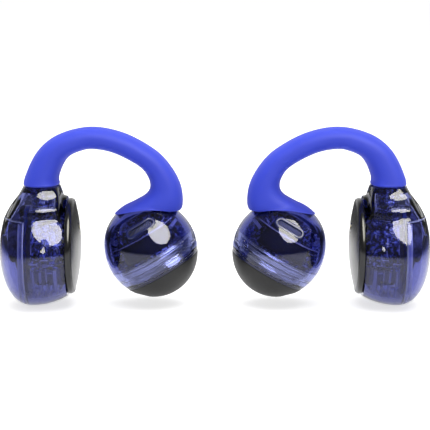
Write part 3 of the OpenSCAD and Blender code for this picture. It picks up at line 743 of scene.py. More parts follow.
# ---- Contact windows and charging pins ------------------------------------------------
# A small glossy window sits in each face near its lower edge. Two plated pins come through
# it and meet the spring contacts of the charging case.


def window_finish():
    finish = Finish("gloss_black")
    return finish.surface(base_color=(0.008, 0.008, 0.010), coat_weight=0.6, coat_roughness=0.03,
                          roughness=0.12 + finish.noise(0.8, 3) * 0.06)


def redress(node, material):
    """Gives a carried-over CAD piece one new material, in place of its old slots."""
    mesh = frame["nodes"][node].data
    mesh.materials.clear()
    mesh.materials.append(material)


plated = drifting("gold_contact", (3.0, 4), [(0.30, 0.27, 0.20), (0.44, 0.40, 0.32)],
                  (0.18, 0.14), metallic=1.0)
gloss = window_finish()
for side in ("left", "right"):
    redress(side + "_charge_pins", plated)
    redress(side + "_contact_window", gloss)

# ---- Ball shells ----------------------------------------------------------------------
# The ball's upper half is a polished dome of tinted polycarbonate with a slot for the
# microphone. A clear lilac ring joins it to a dark soft-touch cap with the sound outlet.
ball_wall = 0.8 * MM
cap_seam, ring_top = -3.6 * MM, -0.4 * MM
joint_gap, dome_gap = 0.01 * MM, 0.015 * MM
ball_turns = 160


def ball_arc(inset, low, high, steps):
    """Points of the ball's profile this far inside its surface, between two heights."""
    r, h = ball_r - inset, ball_half - inset
    first, last = math.asin(max(-1, low / h)), math.asin(min(1, high / h))
    return [(max(0.0, r * math.cos(a)), h * math.sin(a))
            for a in (first + (last - first) * k / steps for k in range(steps + 1))]


def ball_band(low, high, steps, inset=0.0):
    """Profile of a band of the ball's wall between two heights."""
    return ball_arc(inset, low, high, steps) + ball_arc(ball_wall, low, high, steps)[::-1]


def on_ball(place, u, v, lift):
    """A point of the ball's surface, raised by lift, over (u, v) of a frame on the ball."""
    r, h = ball_r + lift, ball_half + lift
    squeeze = Vector((1 / r, 1 / r, 1 / h))
    start, way = place @ Vector((u, v, 0)), place.to_3x3() @ Vector((0, 0, 1))
    from_middle, step = start * squeeze, way * squeeze
    a, b, c = step.dot(step), 2 * from_middle.dot(step), from_middle.dot(from_middle) - 1
    return tuple(start + way * ((-b + math.sqrt(b * b - 4 * a * c)) / (2 * a)))


def carved(shape, cutter):
    """A shape with another one cut out of it."""
    body, tool = mesh_piece("body", shape, None), mesh_piece("tool", cutter, None)
    step = body.modifiers.new("cut", "BOOLEAN")
    step.operation, step.solver, step.object = "DIFFERENCE", "EXACT", tool
    bpy.context.view_layer.update()
    result = body.evaluated_get(bpy.context.evaluated_depsgraph_get()).to_mesh()
    points = [tuple(v.co) for v in result.vertices]
    faces = [tuple(p.vertices) for p in result.polygons]
    for used in (body, tool):
        bpy.data.objects.remove(used)
    return points, faces


def stadium(length, width, steps=12):
    """A slot's outline with round ends, its length along the second coordinate."""
    r, straight = width / 2, (length - width) / 2
    return [(sign * r * math.cos(a), sign * (straight + r * math.sin(a)))
            for sign in (1, -1) for a in (math.pi * k / steps for k in range(steps + 1))]


def with_slot(outline, place, length, width):
    """The turned shape of an outline, with a slot cut through its wall."""
    cutter = [[tuple(place @ Vector((u, v, z))) for u, v in stadium(length, width)]
              for z in (3.0 * MM, 9.0 * MM)]
    return carved(lathe(outline, ball_turns), loft(cutter))


def ball_pair(name, shape, finish, sharp=40):
    """Adds a piece, shaped about the ball's middle, to both earphones."""
    pair_of(name, placed(shape, ball_place), finish, "earpieces", sharp)


vent_place = Matrix.Rotation(math.radians(-81), 4, "Z") @ Matrix.Rotation(math.radians(53), 4, "Y")
vent_length, vent_width, vent_frame = 4.6 * MM, 1.6 * MM, 0.35 * MM
outlet_place = Matrix.Rotation(math.pi, 4, "Z") @ Matrix.Rotation(math.radians(140), 4, "Y")
outlet_length, outlet_width = 4.8 * MM, 2.2 * MM

clear_dome = clear_finish("clear_dome", (0.50, 0.52, 0.77), clear_tint)
dome_outline = ball_band(ring_top + dome_gap, ball_half, 44)
ball_pair("ball_shell", with_slot(dome_outline, vent_place, vent_length, vent_width),
          clear_dome)

# A fine groove runs round the ring at the step between the two bands behind it
band_step, groove_half, groove_t = -1.95 * MM, 0.09 * MM, 0.04 * MM
gasket_h, ring_steps = 0.42 * MM, 64
ring_low = cap_seam + gasket_h + joint_gap
ring_outline = ball_band(ring_low, ring_top - joint_gap, ring_steps)
for k, (r, z) in enumerate(ring_outline[:ring_steps + 1]):
    away = abs(z - band_step) / groove_half
    ring_outline[k] = (r - groove_t * max(0, 1 - away * away), z)
lilac = clear_finish("lilac_clear", (0.84, 0.85, 0.92), (0.40, 0.45, 0.78))
ball_pair("ring_band", lathe(ring_outline, ball_turns), lilac, sharp=70)

# A navy gasket seals the ring to the cap
gasket_outline = ball_band(cap_seam + joint_gap, ring_low - joint_gap, 4, 0.02 * MM)
gasket = moulded_finish("gasket_navy", (0.006, 0.008, 0.045), 0.24, 0.004)
ball_pair("ring_gasket", lathe(eased(gasket_outline, 0.04 * MM, 2), ball_turns), gasket,
          sharp=35)

# A lip on the cap stands up inside the gasket
lip_high, lip_gap, lip_t = cap_seam + 0.35 * MM, 0.04 * MM, 0.5 * MM
lip = ball_arc(ball_wall + lip_gap, cap_seam, lip_high, 1)
cap_outline = (ball_arc(0, -ball_half, cap_seam, 30) + lip + [(lip[1][0] - lip_t, lip_high)]
               + ball_arc(ball_wall, -ball_half, cap_seam - 0.4 * MM, 30)[::-1])
charcoal = moulded_finish("charcoal_plastic", (0.008, 0.008, 0.0085), 0.46, 0.02, 4.0, 0.38)
cap = with_slot(eased(cap_outline, 0.05 * MM, 2), outlet_place, outlet_length, outlet_width)
ball_pair("sound_cap", cap, charcoal)

# ---- Slots, meshes and saddles --------------------------------------------------------
# A pill-shaped trim rings each microphone slot, with a woven steel mesh pressed in behind
# it. A thin black pad lies between the bridge's foot and the ball.
mesh_pitch = 0.30 * MM
mesh_fit = 2.1 * vent_frame


def mesh_finish():
    """Woven steel mesh with round wires and dark holes."""
    finish = Finish("mesh_steel")
    x, y, z = finish.along(0, 1, 2)
    wave = 2 * math.pi / mesh_pitch
    first = finish.node("Math", {"operation": "SINE"}, {0: (x + z) * wave})
    second = finish.node("Math", {"operation": "SINE"}, {0: (x - z + y) * wave})
    weave = finish.highest(first, second)
    solid = finish.from_to(weave, 0.1, 0.5)
    return finish.surface(
        base_color=finish.blend_colours(solid, (0.004, 0.004, 0.006), (0.025, 0.03, 0.10)),
        metallic=solid * 0.9, roughness=0.6 - solid * 0.25,
        normal=finish.bump(weave, 0.03, 0.9))


def slot_rim(place, length, width, profile, steps=14):
    """A closed rim round a slot: profile points are (outward, lift) from the slot's edge."""
    return loft([[on_ball(place, u, v, lift * MM)
                  for u, v in stadium(length + 2 * out * MM, width + 2 * out * MM, steps)]
                 for out, lift in profile], closed=True)


def ball_plate(place, outline, low, high, edge=0.0, steps=8):
    """A plate that follows the ball's surface inside an outline, with a rounded edge."""
    rings = [(low, k / steps) for k in range(1, steps + 1)] + [(high - edge, 1.0)]
    rings += [(high, k / steps) for k in range(steps - 1, 0, -1)]
    return loft([[on_ball(place, u * share, v * share, lift) for u, v in outline]
                 for lift, share in rings])


def one_piece_pair(name, shape, finish):
    """Both earphones' pieces as one object, where one CAD node holds the two."""
    add_piece(name + "_pair", joined(shape, mirrored(shape)), finish, "earpieces", name)


# The trim's section: outward from the slot's edge, and lift over the ball
TRIM = [(0.06, -0.75), (0, -0.75), (-0.35, -0.75), (-0.35, -0.02), (-0.28, 0.07),
        (-0.1225, 0.12), (0, 0.09), (0.06, 0)]
trim_navy = moulded_finish("trim_navy", (0.012, 0.018, 0.11), 0.22, 0.004)
ball_pair("vent_trim", slot_rim(vent_place, vent_length, vent_width, TRIM), trim_navy,
          sharp=35)
steel_mesh = mesh_finish()
vent_plate = ball_plate(vent_place, stadium(vent_length - mesh_fit, vent_width - mesh_fit),
                        -0.45 * MM, -0.2 * MM)
outlet_plate = ball_plate(outlet_place, stadium(outlet_length, outlet_width),
                          -0.5 * MM, -0.22 * MM)
one_piece_pair("vent_meshes", placed(vent_plate, ball_place), steel_mesh)
one_piece_pair("outlet_meshes", placed(outlet_plate, ball_place), steel_mesh)

saddle_reach = 2 * ball_r * math.sin((heel_angle + toe_angle) / 2) - 0.4 * MM
saddle_place = Matrix.Rotation(ball_tilt + (heel_angle - toe_angle) / 2, 4, "Y")
saddle_outline = oval(72, saddle_reach / 2, foot_depth / 2 - 0.2 * MM)
ball_pair("saddle", ball_plate(saddle_place, saddle_outline, 0.03 * MM, saddle_t, 0.12 * MM),
          black, sharp=35)

# ---- Battery cells --------------------------------------------------------------------
# A button cell lies on its side in each pod: a drawn nickel-plated can crimped over its lid. Can, crimp
# and lid are turned as one piece; the thin grey gasket between can and lid is left out.
cell_low, cell_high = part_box("left_battery_cell")
cell_r = (cell_high.y - cell_low.y) / 2
cell_h = cell_high.x - cell_low.x

# The can's side from below and from above: distance in from its radius, and height
CAN_FOOT = [(0.3, 0), (0, 0.25), (0, 0.9), (0.09, 1.0), (0.09, 1.12), (0, 1.22)]
CAN_CRIMP = [(0, 0.85), (0.06, 0.75), (0, 0.66), (0.1, 0.3), (0.51, 0.22), (0.56, 0.45),
             (0.91, 0.45), (1.01, 0)]
can_outline = ([(0, 0)] + [(cell_r - a * MM, z * MM) for a, z in CAN_FOOT]
               + [(cell_r - a * MM, cell_h - z * MM) for a, z in CAN_CRIMP] + [(0, cell_h)])
can = drifting("cell_can", (1.2, 4), [(0.12, 0.13, 0.24), (0.40, 0.41, 0.55)], (0.34, 0.2),
               bump=(0.004, 0.5), grain=(12.0, 2), metallic=0.35)
pair_of("battery_cell", placed(lathe(eased(can_outline, 0.1 * MM)), facing_ear(cell_low.x, pod_z)),
        can, sharp=45)

# ---- Cell frames and their screws -----------------------------------------------------
# A navy moulded arch clips over each cell. Its outside is cored out between ribs, and two
# small steel screws in round bosses clamp it.


def edge_step(value, at, width=0.07 * MM):
    return np.clip((value - at) / width + 0.5, 0, 1)


def add_spots(depth, spots, offsets, least):
    """The depths with pockets and lugs pressed in: each spot's half-sizes and depth in mm."""
    for spot in spots:
        aside, above = offsets(spot)
        inside = (np.abs(aside) < spot[2]) & (np.abs(above) < spot[3])
        depth = np.where(inside, np.maximum(depth + spot[4], least), depth)
    return depth


def random_spots(seed, count, first_span, second_span):
    """Pockets and lugs: place along and across, half-width, half-height and depth."""
    rng = random.Random(seed)
    return [(rng.uniform(*first_span), rng.uniform(*second_span), rng.uniform(0.18, 0.55),
             rng.uniform(0.12, 0.4), rng.choice((-0.22, 0.25, 0.45))) for _ in range(count)]


def inside_radius(x, inset):
    """Radius of the pod's cavity at a place from the parting line, less a clearance."""
    reach, power = np.where(x > 0, rear_reach, dome_depth), np.where(x > 0, 2.0, dome_power)
    return pod_r * (1 - np.abs(x / reach) ** power) ** (1 / power) - pod_wall - inset


def round_pod(section, turn):
    """A section of (place along the pod, radius) points, at a turn round the pod's axis."""
    return [(x, r * math.sin(turn), pod_z + r * math.cos(turn)) for x, r in section]


frame_low, frame_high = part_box("left_cell_frame")
frame_start = frame_low.x - parting
frame_foot, frame_flat, frame_gap = -1.8 * MM, frame_high.z - pod_z, 0.12 * MM
frame_bore = cell_r + 0.1 * MM
foot_turn = math.acos(frame_foot / (pod_r - pod_wall))
screw_spots = [(2.3 * MM, 1.3 * MM), (3.5 * MM, 0.8 * MM)]
boss_r, boss_low = 1.05 * MM, 0.05 * MM
recess_r, recess_deep = 0.72 * MM, 0.35 * MM

# Pockets between the ribs: start and end along the pod, lower and upper edge, depth
POCKETS = [(0.45, 1.75, 2.5, 5.1, 0.5), (2.15, 3.7, 2.7, 4.9, 0.5), (0.4, 1.05, -1.3, 1.9, 0.4),
           (1.4, 2.5, -1.5, -0.3, 0.45), (2.75, 3.9, -1.5, -0.5, 0.45), (3.1, 3.9, 1.75, 2.35, 0.3)]
FRAME_SPOTS = random_spots(5, 46, (0.1, 4.3), (-1.6, 5.6))
STUDS = [(0.9, 3.4, 0.32), (2.9, 4.2, 0.30), (1.35, 4.55, 0.22)]


def frame_relief(x, height):
    """Depth of the frame's pockets at a place along it and a height over the pod's centre."""
    depth = np.zeros(x.shape)
    for x0, x1, h0, h1, deep in POCKETS:
        inside = (edge_step(x, x0 * MM) * (1 - edge_step(x, x1 * MM))
                  * edge_step(height, h0 * MM) * (1 - edge_step(height, h1 * MM)))
        depth = np.maximum(depth, deep * MM * inside)
    for sx, sh, sr in STUDS:
        away = np.hypot(x - sx * MM, height - sh * MM)
        depth = np.where(away < sr * MM, depth * edge_step(away, sr * MM * 0.8), depth)
    depth = add_spots(depth / MM, FRAME_SPOTS, lambda s: (x / MM - s[0], height / MM - s[1]), 0) * MM
    for sx, sh in screw_spots:
        away = np.hypot(x - (sx - frame_start), height - sh)
        boss = 1 - edge_step(away, boss_r)
        depth = depth * (1 - boss) + boss * boss_low
        depth = np.maximum(depth, recess_deep * (1 - edge_step(away, recess_r)))
    return depth


def frame_shape():
    """Sections from one foot of the arch to the other, out along the relief and back inside."""
    x, turn = np.meshgrid(np.linspace(0, frame_high.x - frame_low.x, 96),
                          np.linspace(-foot_turn, foot_turn, 420))
    radius = np.minimum(inside_radius(x + frame_start, frame_gap),
                        frame_flat / np.maximum(np.cos(turn), 0.2))
    radius -= frame_relief(x, radius * np.cos(turn))
    along = x[0] + frame_low.x
    bore = [(a, frame_bore) for a in along[::-1]]
    return loft([round_pod([*zip(along, row), *bore], t) for row, t in zip(radius, turn[:, 0])])


# The moulding is dark navy with noise patches of bright clear blue, which are painted sparkle
# highlights; its gloss also catches the light
navy_with_painted_sparkle = drifting("glossy_navy_painted_sparkle", (2.2, 4, 0.7), [(0.003, 0.006, 0.040), (0.36, 0.43, 1.0)], (0.08, 0.1),
                bump=(0.14, 0.9), grain=(1.9, 4, 0.65), span=(0.49, 0.60),
                metallic=0.3, coat_weight=0.8, coat_roughness=0.03)
pair_of("cell_frame", frame_shape(), navy_with_painted_sparkle, sharp=40)


def slab(outline, low, high, bevel):
    """A flat piece on a convex outline, with its rims chamfered."""
    flat = np.array(outline)
    centre = flat.mean(0)
    inner = centre + (flat - centre) * (1 - bevel / np.linalg.norm(flat - centre, axis=1, keepdims=True))
    return loft([[(x, y, z) for x, y in ring] for ring, z in (
        (inner, low), (flat, low + bevel), (flat, high - bevel), (inner, high))])


def block(x, y, width, depth, low, high, bevel):
    """A chamfered block on a corner in mm, between two heights in mm."""
    corners = [(x, y), (x + width, y), (x + width, y + depth), (x, y + depth)]
    return slab([(u * MM, v * MM) for u, v in corners], low * MM, high * MM, bevel * MM)


screw_high = 1.24 * MM
screw_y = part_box("left_frame_screws")[0].y + screw_high
SCREW = [(0, 0), (0.3, 0), (0.3, 0.9), (0.65, 0.9), (0.65, 1.15), (0.53, 1.24), (0, 1.24)]
screw_blade = block(-0.09, -0.42, 0.18, 0.84, 1.06, 1.6, 0.01)
screw_head = carved(lathe(eased([(r * MM, z * MM) for r, z in SCREW], 0.06 * MM), 40), screw_blade)
screw_head = carved(screw_head, placed(screw_blade, Matrix.Rotation(math.pi / 2, 4, "Z")))
screw_turn = Matrix.Rotation(math.pi / 2, 4, "X") @ Matrix.Rotation(0.4, 4, "Z")
screws = [placed(screw_head, Matrix.Translation((parting + x, screw_y, pod_z + height)) @ screw_turn)
          for x, height in screw_spots]
pair_of("frame_screws", joined(*screws), steel)


def wall_band(start, end, from_turn, to_turn, inset, thick, cuts=2):
    """A strip of wall inside a pod, between two places from the parting line in mm and two turns."""
    rows = [(parting + x, float(inside_radius(x, inset * MM)))
            for x in np.linspace(start * MM, end * MM, cuts)]
    section = rows + [(x, r - thick * MM) for x, r in rows[::-1]]
    return loft([round_pod(section, turn) for turn in np.radians(np.linspace(from_turn, to_turn, 120))])


def hoop_finish(name, shade, light):
    return drifting(name, (1.4, 4), [shade, light], (0.14, 0.14), bump=(0.08, 0.8), grain=(1.0, 3),
                    coat_weight=0.5, coat_roughness=0.05)


# Ribs under the cell: place along the pod from the parting line, and width
HOOPS = [(0.55, 0.22), (1.45, 0.30), (2.35, 0.16), (3.35, 0.45)]
foot_degrees = math.degrees(foot_turn)
ribs = [wall_band(x, x + w, foot_degrees + 2, 358 - foot_degrees, 0.08, 0.5) for x, w in HOOPS]
ribs.append(wall_band(-1.35, -0.8, 50, 310, 0.06, 0.3, 4))
pale_rib = hoop_finish("pale_ribs", (0.45, 0.47, 0.80), (1.0, 1.0, 1.0))
# The lugs' pale blue is partly a painted highlight, for bright specks on the frame and chamber
lugs_painted_sparkle = hoop_finish("pale_lugs_painted_sparkle", (0.22, 0.26, 0.72), (0.80, 0.83, 1.0))
pair_of("cell_ribs", joined(*ribs), pale_rib, sharp=40)


def dome_oval(x_mid, half_w, turn_mid, half_turn, inset, thick):
    """A rounded plate inside the dome: place from the parting line and half-width in mm."""
    rings = []
    for share in (k / 30 - 1 for k in range(61)):
        half = max(half_w * (1 - share ** 4) ** 0.4, 0.05)
        row = [(parting + x, float(inside_radius(x, inset * MM)))
               for x in np.linspace((x_mid - half) * MM, (x_mid + half) * MM, 10)]
        section = row + [(x, r - thick * MM) for x, r in row[::-1]]
        rings.append(round_pod(section, math.radians(turn_mid + half_turn * share)))
    return loft(rings)


# A dark aerial carrier lines each side of the dome beside the board
carrier = drifting("carrier_navy", (0.8, 4, 0.6), [(0.012, 0.014, 0.045), (0.12, 0.13, 0.32)],
                   (0.25, 0.2), bump=(0.1, 0.8), span=(0.4, 0.65))
carriers = [dome_oval(-1.9, 0.7, turn, 34, 0.12, 0.2) for turn in (61, 299)]
pair_of("aerial_carriers", joined(*carriers), carrier, sharp=40)


def frame_tags(spots):
    """Small plates on the frame's two broad sides."""
    plates = []
    for x, height, width, tall in spots:
        r = float(inside_radius(x * MM, 0.07 * MM))
        turn = math.acos(height * MM / r)
        plate = block(-width / 2, -tall / 2, width, tall, -0.3, 0.03, 0.02)
        for way in (turn, -turn):
            plates.append(placed(plate, Matrix.Translation((parting + x * MM, 0, pod_z))
                                 @ Matrix.Rotation(way, 4, "X") @ Matrix.Translation((0, 0, r))))
    return joined(*plates)


# Small black vents and pale lugs: place along the pod, height, width and height of each. The lugs' pale
# colour is partly a painted highlight.
VENTS = [(0.65, 0.25, 0.34, 0.28), (1.2, 0.15, 0.34, 0.28), (1.75, 0.05, 0.3, 0.28),
         (1.5, -3.7, 0.62, 0.14), (2.5, -3.6, 0.62, 0.14), (3.0, 2.6, 0.3, 0.5)]
LUGS = [(0.35, 4.3, 0.5, 0.12), (0.5, 3.1, 0.16, 0.7), (1.9, 4.9, 0.8, 0.1), (2.05, 4.1, 0.28, 0.32),
        (2.1, 3.3, 0.34, 0.26), (2.0, 2.5, 0.24, 0.5), (1.95, 1.6, 0.5, 0.16), (2.1, 0.6, 0.2, 0.6),
        (2.3, -0.3, 0.9, 0.1), (0.5, 1.2, 0.12, 1.4), (0.7, -0.8, 1.2, 0.12), (3.3, 3.6, 0.4, 0.14),
        (3.6, 2.9, 0.14, 0.5), (1.2, 2.2, 0.6, 0.1), (3.1, -1.1, 0.8, 0.12), (3.7, 4.4, 0.3, 0.2),
        (0.9, -4.4, 1.1, 0.1), (2.6, -4.9, 0.12, 0.9), (3.2, -4.4, 0.12, 0.8), (3.4, -5.2, 0.5, 0.1),
        (1.6, -2.6, 0.12, 1.2), (2.9, -2.2, 0.7, 0.12), (0.4, -2.2, 0.1, 1.6), (2.0, -5.8, 0.9, 0.1)]
pair_of("frame_vents", frame_tags(VENTS), black)
pair_of("frame_lugs", frame_tags(LUGS), lugs_painted_sparkle)

# A guide block fills the neck's root over the frame and leads the cable down to the board
guide_gap, guide_dips = 0.15 * MM, 0.8 * MM
guide_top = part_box("left_wire_anchor")[0].z - 0.12 * MM
guide_low = pod_z + frame_flat + guide_gap
guide_turns = np.linspace(0, 2 * math.pi, 200, endpoint=False)
GUIDE_SPOTS = random_spots(3, 60, (-180, 180), (0.1, 3.6))
over_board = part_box("left_main_board")[1].z + guide_gap


def turned_off(turn, from_turn):
    """Signed angle between two turns in degrees."""
    return (turn - from_turn + 180) % 360 - 180


def guide_reach(height, axis_x):
    """How far the block runs from its axis to the shell's inside, all round at one height."""
    ways = np.stack([np.cos(guide_turns), np.sin(guide_turns), 0 * guide_turns], -1)
    start, flat = np.array([axis_x, 0.0, height]), np.ones(len(ways))
    near = closed_in(0.3 * MM * flat, 9 * MM * flat, lambda r: pod_distance(
        start + ways * r[:, None], pod_wall + 0.1 * MM) > 0, 24)
    first = parting + guide_gap if height < over_board else pod_tip
    room = np.where(ways[:, 0] > 0, shell_end - 0.4 * MM - axis_x, axis_x - first)
    return np.minimum(near, room / np.maximum(np.abs(ways[:, 0]), 1e-6))


guide_rings = []
for height in np.linspace(guide_low, guide_top, 40):
    axis_x = neck_axis - neck_lean * (neck_top - height)
    level = (height - guide_low) / MM
    dips = add_spots(np.zeros(guide_turns.shape), GUIDE_SPOTS, lambda s: (
        np.radians(turned_off(np.degrees(guide_turns), s[0])) * 4.0, level - s[1]), 0)
    reach = guide_reach(height, axis_x) - dips * guide_dips
    guide_rings.append([(axis_x + r * math.cos(a), r * math.sin(a), height)
                        for r, a in zip(reach, guide_turns)])
pair_of("cable_guide", loft(guide_rings), navy_with_painted_sparkle, sharp=30)

# ---- Boards and touch pads ------------------------------------------------------------
# Each pod's round circuit board stands at the parting line. Its outer side carries the
# radio, charger and sensor packages and their passives, and the touch pad lies on them.
board_low, board_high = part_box("left_main_board")
board_r = (board_high.y - board_low.y) / 2
board_place = facing_ear(board_low.x, pod_z)
board_corners, post_r, post_turns = 180, 0.7 * MM, (70, 250)


def board_finish():
    finish = Finish("board_resist")
    cells = finish.node("TexVoronoi", {"feature": "DISTANCE_TO_EDGE"},
                        {"Vector": finish.place, "Scale": 1.4 / MM}, "Distance")
    track = cells < 0.05
    return finish.surface(
        base_color=finish.blend_colours(track, (0.010, 0.028, 0.16), (0.030, 0.075, 0.34)),
        roughness=0.32 - track * 0.1, coat_weight=0.5, coat_roughness=0.12,
        normal=finish.bump(track, 0.02, 0.6))


# The board's round edge has two half-round notches for its locating posts
board_edge = []
for a in (2 * math.pi * k / board_corners for k in range(board_corners)):
    away = min(abs(a - math.radians(turn)) for turn in post_turns) * board_r
    r = board_r - math.sqrt(max(0.0, post_r ** 2 - away ** 2))
    board_edge.append((r * math.cos(a), r * math.sin(a)))
board = slab(board_edge, 0, board_high.x - board_low.x, 0.05 * MM)
pair_of("main_board", placed(board, board_place), board_finish())

# Corner and size of each package, 1 mm tall: shield can, radio, sensor, connector
PACKAGES = [(-4, -3, 3.4, 4.2), (0.4, -2.2, 2.4, 2.8), (0.2, 1.4, 2, 2), (-4.2, 2, 3, 1.2)]
chips = [block(*package, -1.0, 0, 0.08) for package in PACKAGES]
chip_black = moulded_finish("chip_black", (0.018, 0.018, 0.022), 0.42, 0.008, 10.0)
pair_of("board_chips", placed(joined(*chips), board_place), chip_black)

# Passives lie scattered between the packages, each with a soldered cap on both ends
rng = random.Random(7)
passive_count, passive_reach = 44, (1.0, 5.9)
chip_long, chip_wide, cap_long, solder_t = 0.6, 0.32, 0.14, 0.02
clear_before, clear_after, clear_apart = 0.9, 0.5, 0.8
passives, solder = [], []
while len(passives) < passive_count:
    a, r = rng.uniform(0, 2 * math.pi), rng.uniform(*passive_reach)
    x, y = r * math.cos(a), r * math.sin(a)
    long_x = rng.random() < 0.5
    w, d = (chip_long, chip_wide) if long_x else (chip_wide, chip_long)
    tall = rng.choice((0.26, 0.32, 0.45))
    if any(px - clear_before < x < px + pw + clear_after
           and py - clear_before < y < py + pd + clear_after for px, py, pw, pd in PACKAGES):
        continue
    if any(math.hypot(x - points[0][0] / MM, y - points[0][1] / MM) < clear_apart
           for points, _ in passives):
        continue
    passives.append(block(x, y, w, d, -tall, 0, 0.03))
    for end in (0, chip_long - cap_long):
        corner, size = ((x + end, y - solder_t), (cap_long, d + 2 * solder_t)) if long_x else (
            (x - solder_t, y + end), (w + 2 * solder_t, cap_long))
        solder.append(block(*corner, *size, -(tall + solder_t), 0, solder_t))
ceramic = moulded_finish("passive_ceramic", (0.16, 0.11, 0.07), 0.4, 0.004, 8.0)
tin = steel_finish("solder_tin", (0.62, 0.62, 0.64), 0.22)
pair_of("board_passives", placed(joined(*passives), board_place), ceramic)
pair_of("board_solder", placed(joined(*solder), board_place), tin)

pad_low, pad_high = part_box("left_touch_pad")
pad_r, pad_t = (pad_high.y - pad_low.y) / 2, pad_high.x - pad_low.x
pad_crown = 0.75 * MM
pad_outline = [(pad_r * s, -pad_crown * (1 - s ** 2.4)) for s in (k / 12 for k in range(13))]
pad = lathe(eased(pad_outline + [(pad_r, pad_t), (0, pad_t)], 0.05 * MM, 3))
pair_of("touch_pad", placed(pad, facing_ear(pad_low.x, pod_z)), black)

# ---- Anchors, magnets and other metal parts -------------------------------------------
# A ridged ferrule in each neck clamps the spring wire. The case magnet, the ball's anchor
# and the speaker's steel parts are plain turned metal, seen only through the shells.
anchor_low, anchor_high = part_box("left_wire_anchor")
anchor_w, anchor_d = (anchor_high.x - anchor_low.x) / 2, (anchor_high.y - anchor_low.y) / 2
anchor_tall = neck_top - 0.05 * MM - anchor_low.z
anchor_steps, anchor_ridges = 40, 4
ridge_deep, anchor_edge = 0.13 * MM, 0.15 * MM
anchor_rings = []
for k in range(anchor_steps + 1):
    share = k / anchor_steps
    dip = ridge_deep * (0.5 - 0.5 * math.cos(2 * math.pi * anchor_ridges * share))
    if k in (0, anchor_steps):
        dip += anchor_edge
    anchor_rings.append([(neck_axis + p, q, anchor_low.z + anchor_tall * share)
                         for p, q in oval(64, anchor_w - dip, anchor_d - dip)])
# The ferrule takes the navy finish, with its painted sparkle highlights
pair_of("wire_anchor", loft(anchor_rings), navy_with_painted_sparkle)

dark_steel = steel_finish("turned_steel", (0.10, 0.11, 0.20), 0.2)
nickel = steel_finish("magnet_nickel", (0.48, 0.48, 0.50), 0.2)
film = moulded_finish("diaphragm_film", (0.36, 0.37, 0.40), 0.3, 0.004, 3.0)
for side in ("left_", "right_"):
    for part, metal in (("case_magnet", nickel), ("driver_magnet", nickel), ("diaphragm", film),
                        ("ball_anchor", dark_steel), ("driver_yoke", steel)):
        redress(side + part, metal)
redress("voice_coils", steel_finish("coil_copper", (0.62, 0.26, 0.10), 0.3))

# ---- Speaker chambers and baskets -----------------------------------------------------
# Behind each speaker a navy moulded chamber fills the ball up to its dome, cored out between
# ribs. The basket under it is turned pale metal with two tapered bands and fine turning marks.
lip_top = lip_high + 0.05 * MM
basket_high = ring_top - 0.1 * MM
basket_pull = 0.4 * MM


def turned_finish():
    """Rings of light and dark across the height in the ball, a little uneven."""
    finish = Finish("turned_basket")
    x, z = finish.along(0, 2)
    inboard = finish.node("Math", {"operation": "ABSOLUTE"}, {0: x})
    height = inboard * math.sin(ball_tilt) + z * math.cos(ball_tilt)
    drift = finish.noise(0.7, 3) * (0.35 * MM)
    marks = finish.node("TexNoise", {"noise_dimensions": "1D"},
                        {"W": height + drift, "Scale": 3.0 / MM, "Detail": 4.0}, "Fac")
    shade = finish.from_to(marks, 0.3, 0.7)
    return finish.surface(
        base_color=finish.blend_colours(shade, (0.08, 0.09, 0.20), (0.90, 0.91, 0.98)),
        metallic=0.85, roughness=0.05 + marks * 0.07, normal=finish.bump(marks, 0.14, 0.9))


def wall_at(z, inset=0.12 * MM):
    """Radius of the ball's cavity at a height, less a clearance."""
    h = ball_half - ball_wall - inset
    return (ball_r - ball_wall - inset) * np.sqrt(np.maximum(1 - (z / h) ** 2, 0.01))


def basket_band(low, high, widest):
    """Profile of a barrel-shaped band between two heights, widest at one between them."""
    half = max(high - widest, widest - low)
    return [(min(wall_at(widest) - basket_pull * ((h - widest) / half) ** 2, wall_at(h)), h)
            for h in np.linspace(low, high, 15)]


basket_bore, basket_mouth, basket_lid = 4.39 * MM, 3.5 * MM, 0.5 * MM
basket_outline = (basket_band(lip_top, band_step - 0.1 * MM, -2.95 * MM)
                  + basket_band(band_step, basket_high, -1.15 * MM)
                  + [(basket_mouth, basket_high), (basket_mouth, basket_high - basket_lid),
                     (basket_bore, basket_high - basket_lid), (basket_bore, lip_top)])
ball_pair("driver_basket", lathe(basket_outline, ball_turns), turned_finish(), sharp=30)

# Steps of the chamber's wall: height from the ball's middle, and depth below the dome
CHAMBER_STEPS = [(-0.4, 0.25), (-0.2, 0.25), (-0.15, 0.9), (2.45, 0.9), (2.50, 0.22),
                 (2.72, 0.22), (2.77, 0.45), (4.55, 0.45), (4.60, 0.9), (5.2, 0.9)]
# Pockets and lugs on the chamber, by turn in degrees and height in millimetres
CHAMBER_SPOTS = random_spots(19, 110, (0, 360), (2.85, 4.5))
chamber_turns = np.arange(0, 360, 0.75)
chamber_low, chamber_top, chamber_floor = -0.4, 5.2, 0.9
chamber_bore = 4.85 * MM
rib_pitch, rib_half, rib_deep, rib_top = 360 / 26, 0.10, 0.3, 4.6
panel_half, panel_top = 48, 2.6


def chamber_depth(turn, height):
    """Depth of the chamber's wall below the dome at a turn in degrees and a height in mm."""
    depth = np.interp(height, *zip(*CHAMBER_STEPS))
    girth = 5.9 * np.sqrt(np.maximum(1 - (height / 6.4) ** 2, 0.05))
    depth = add_spots(depth, CHAMBER_SPOTS, lambda s: (
        np.radians(turned_off(turn, s[0])) * girth, height - s[1]), 0.22)
    off_rib = np.radians((turn + rib_pitch / 2) % rib_pitch - rib_pitch / 2) * girth
    off_front = np.abs(turned_off(turn, -90))
    rib = (np.abs(off_rib) < rib_half) & ((height > panel_top) | (off_front > panel_half))
    return np.where(rib & (height > 0) & (height < rib_top), np.minimum(depth, rib_deep), depth)


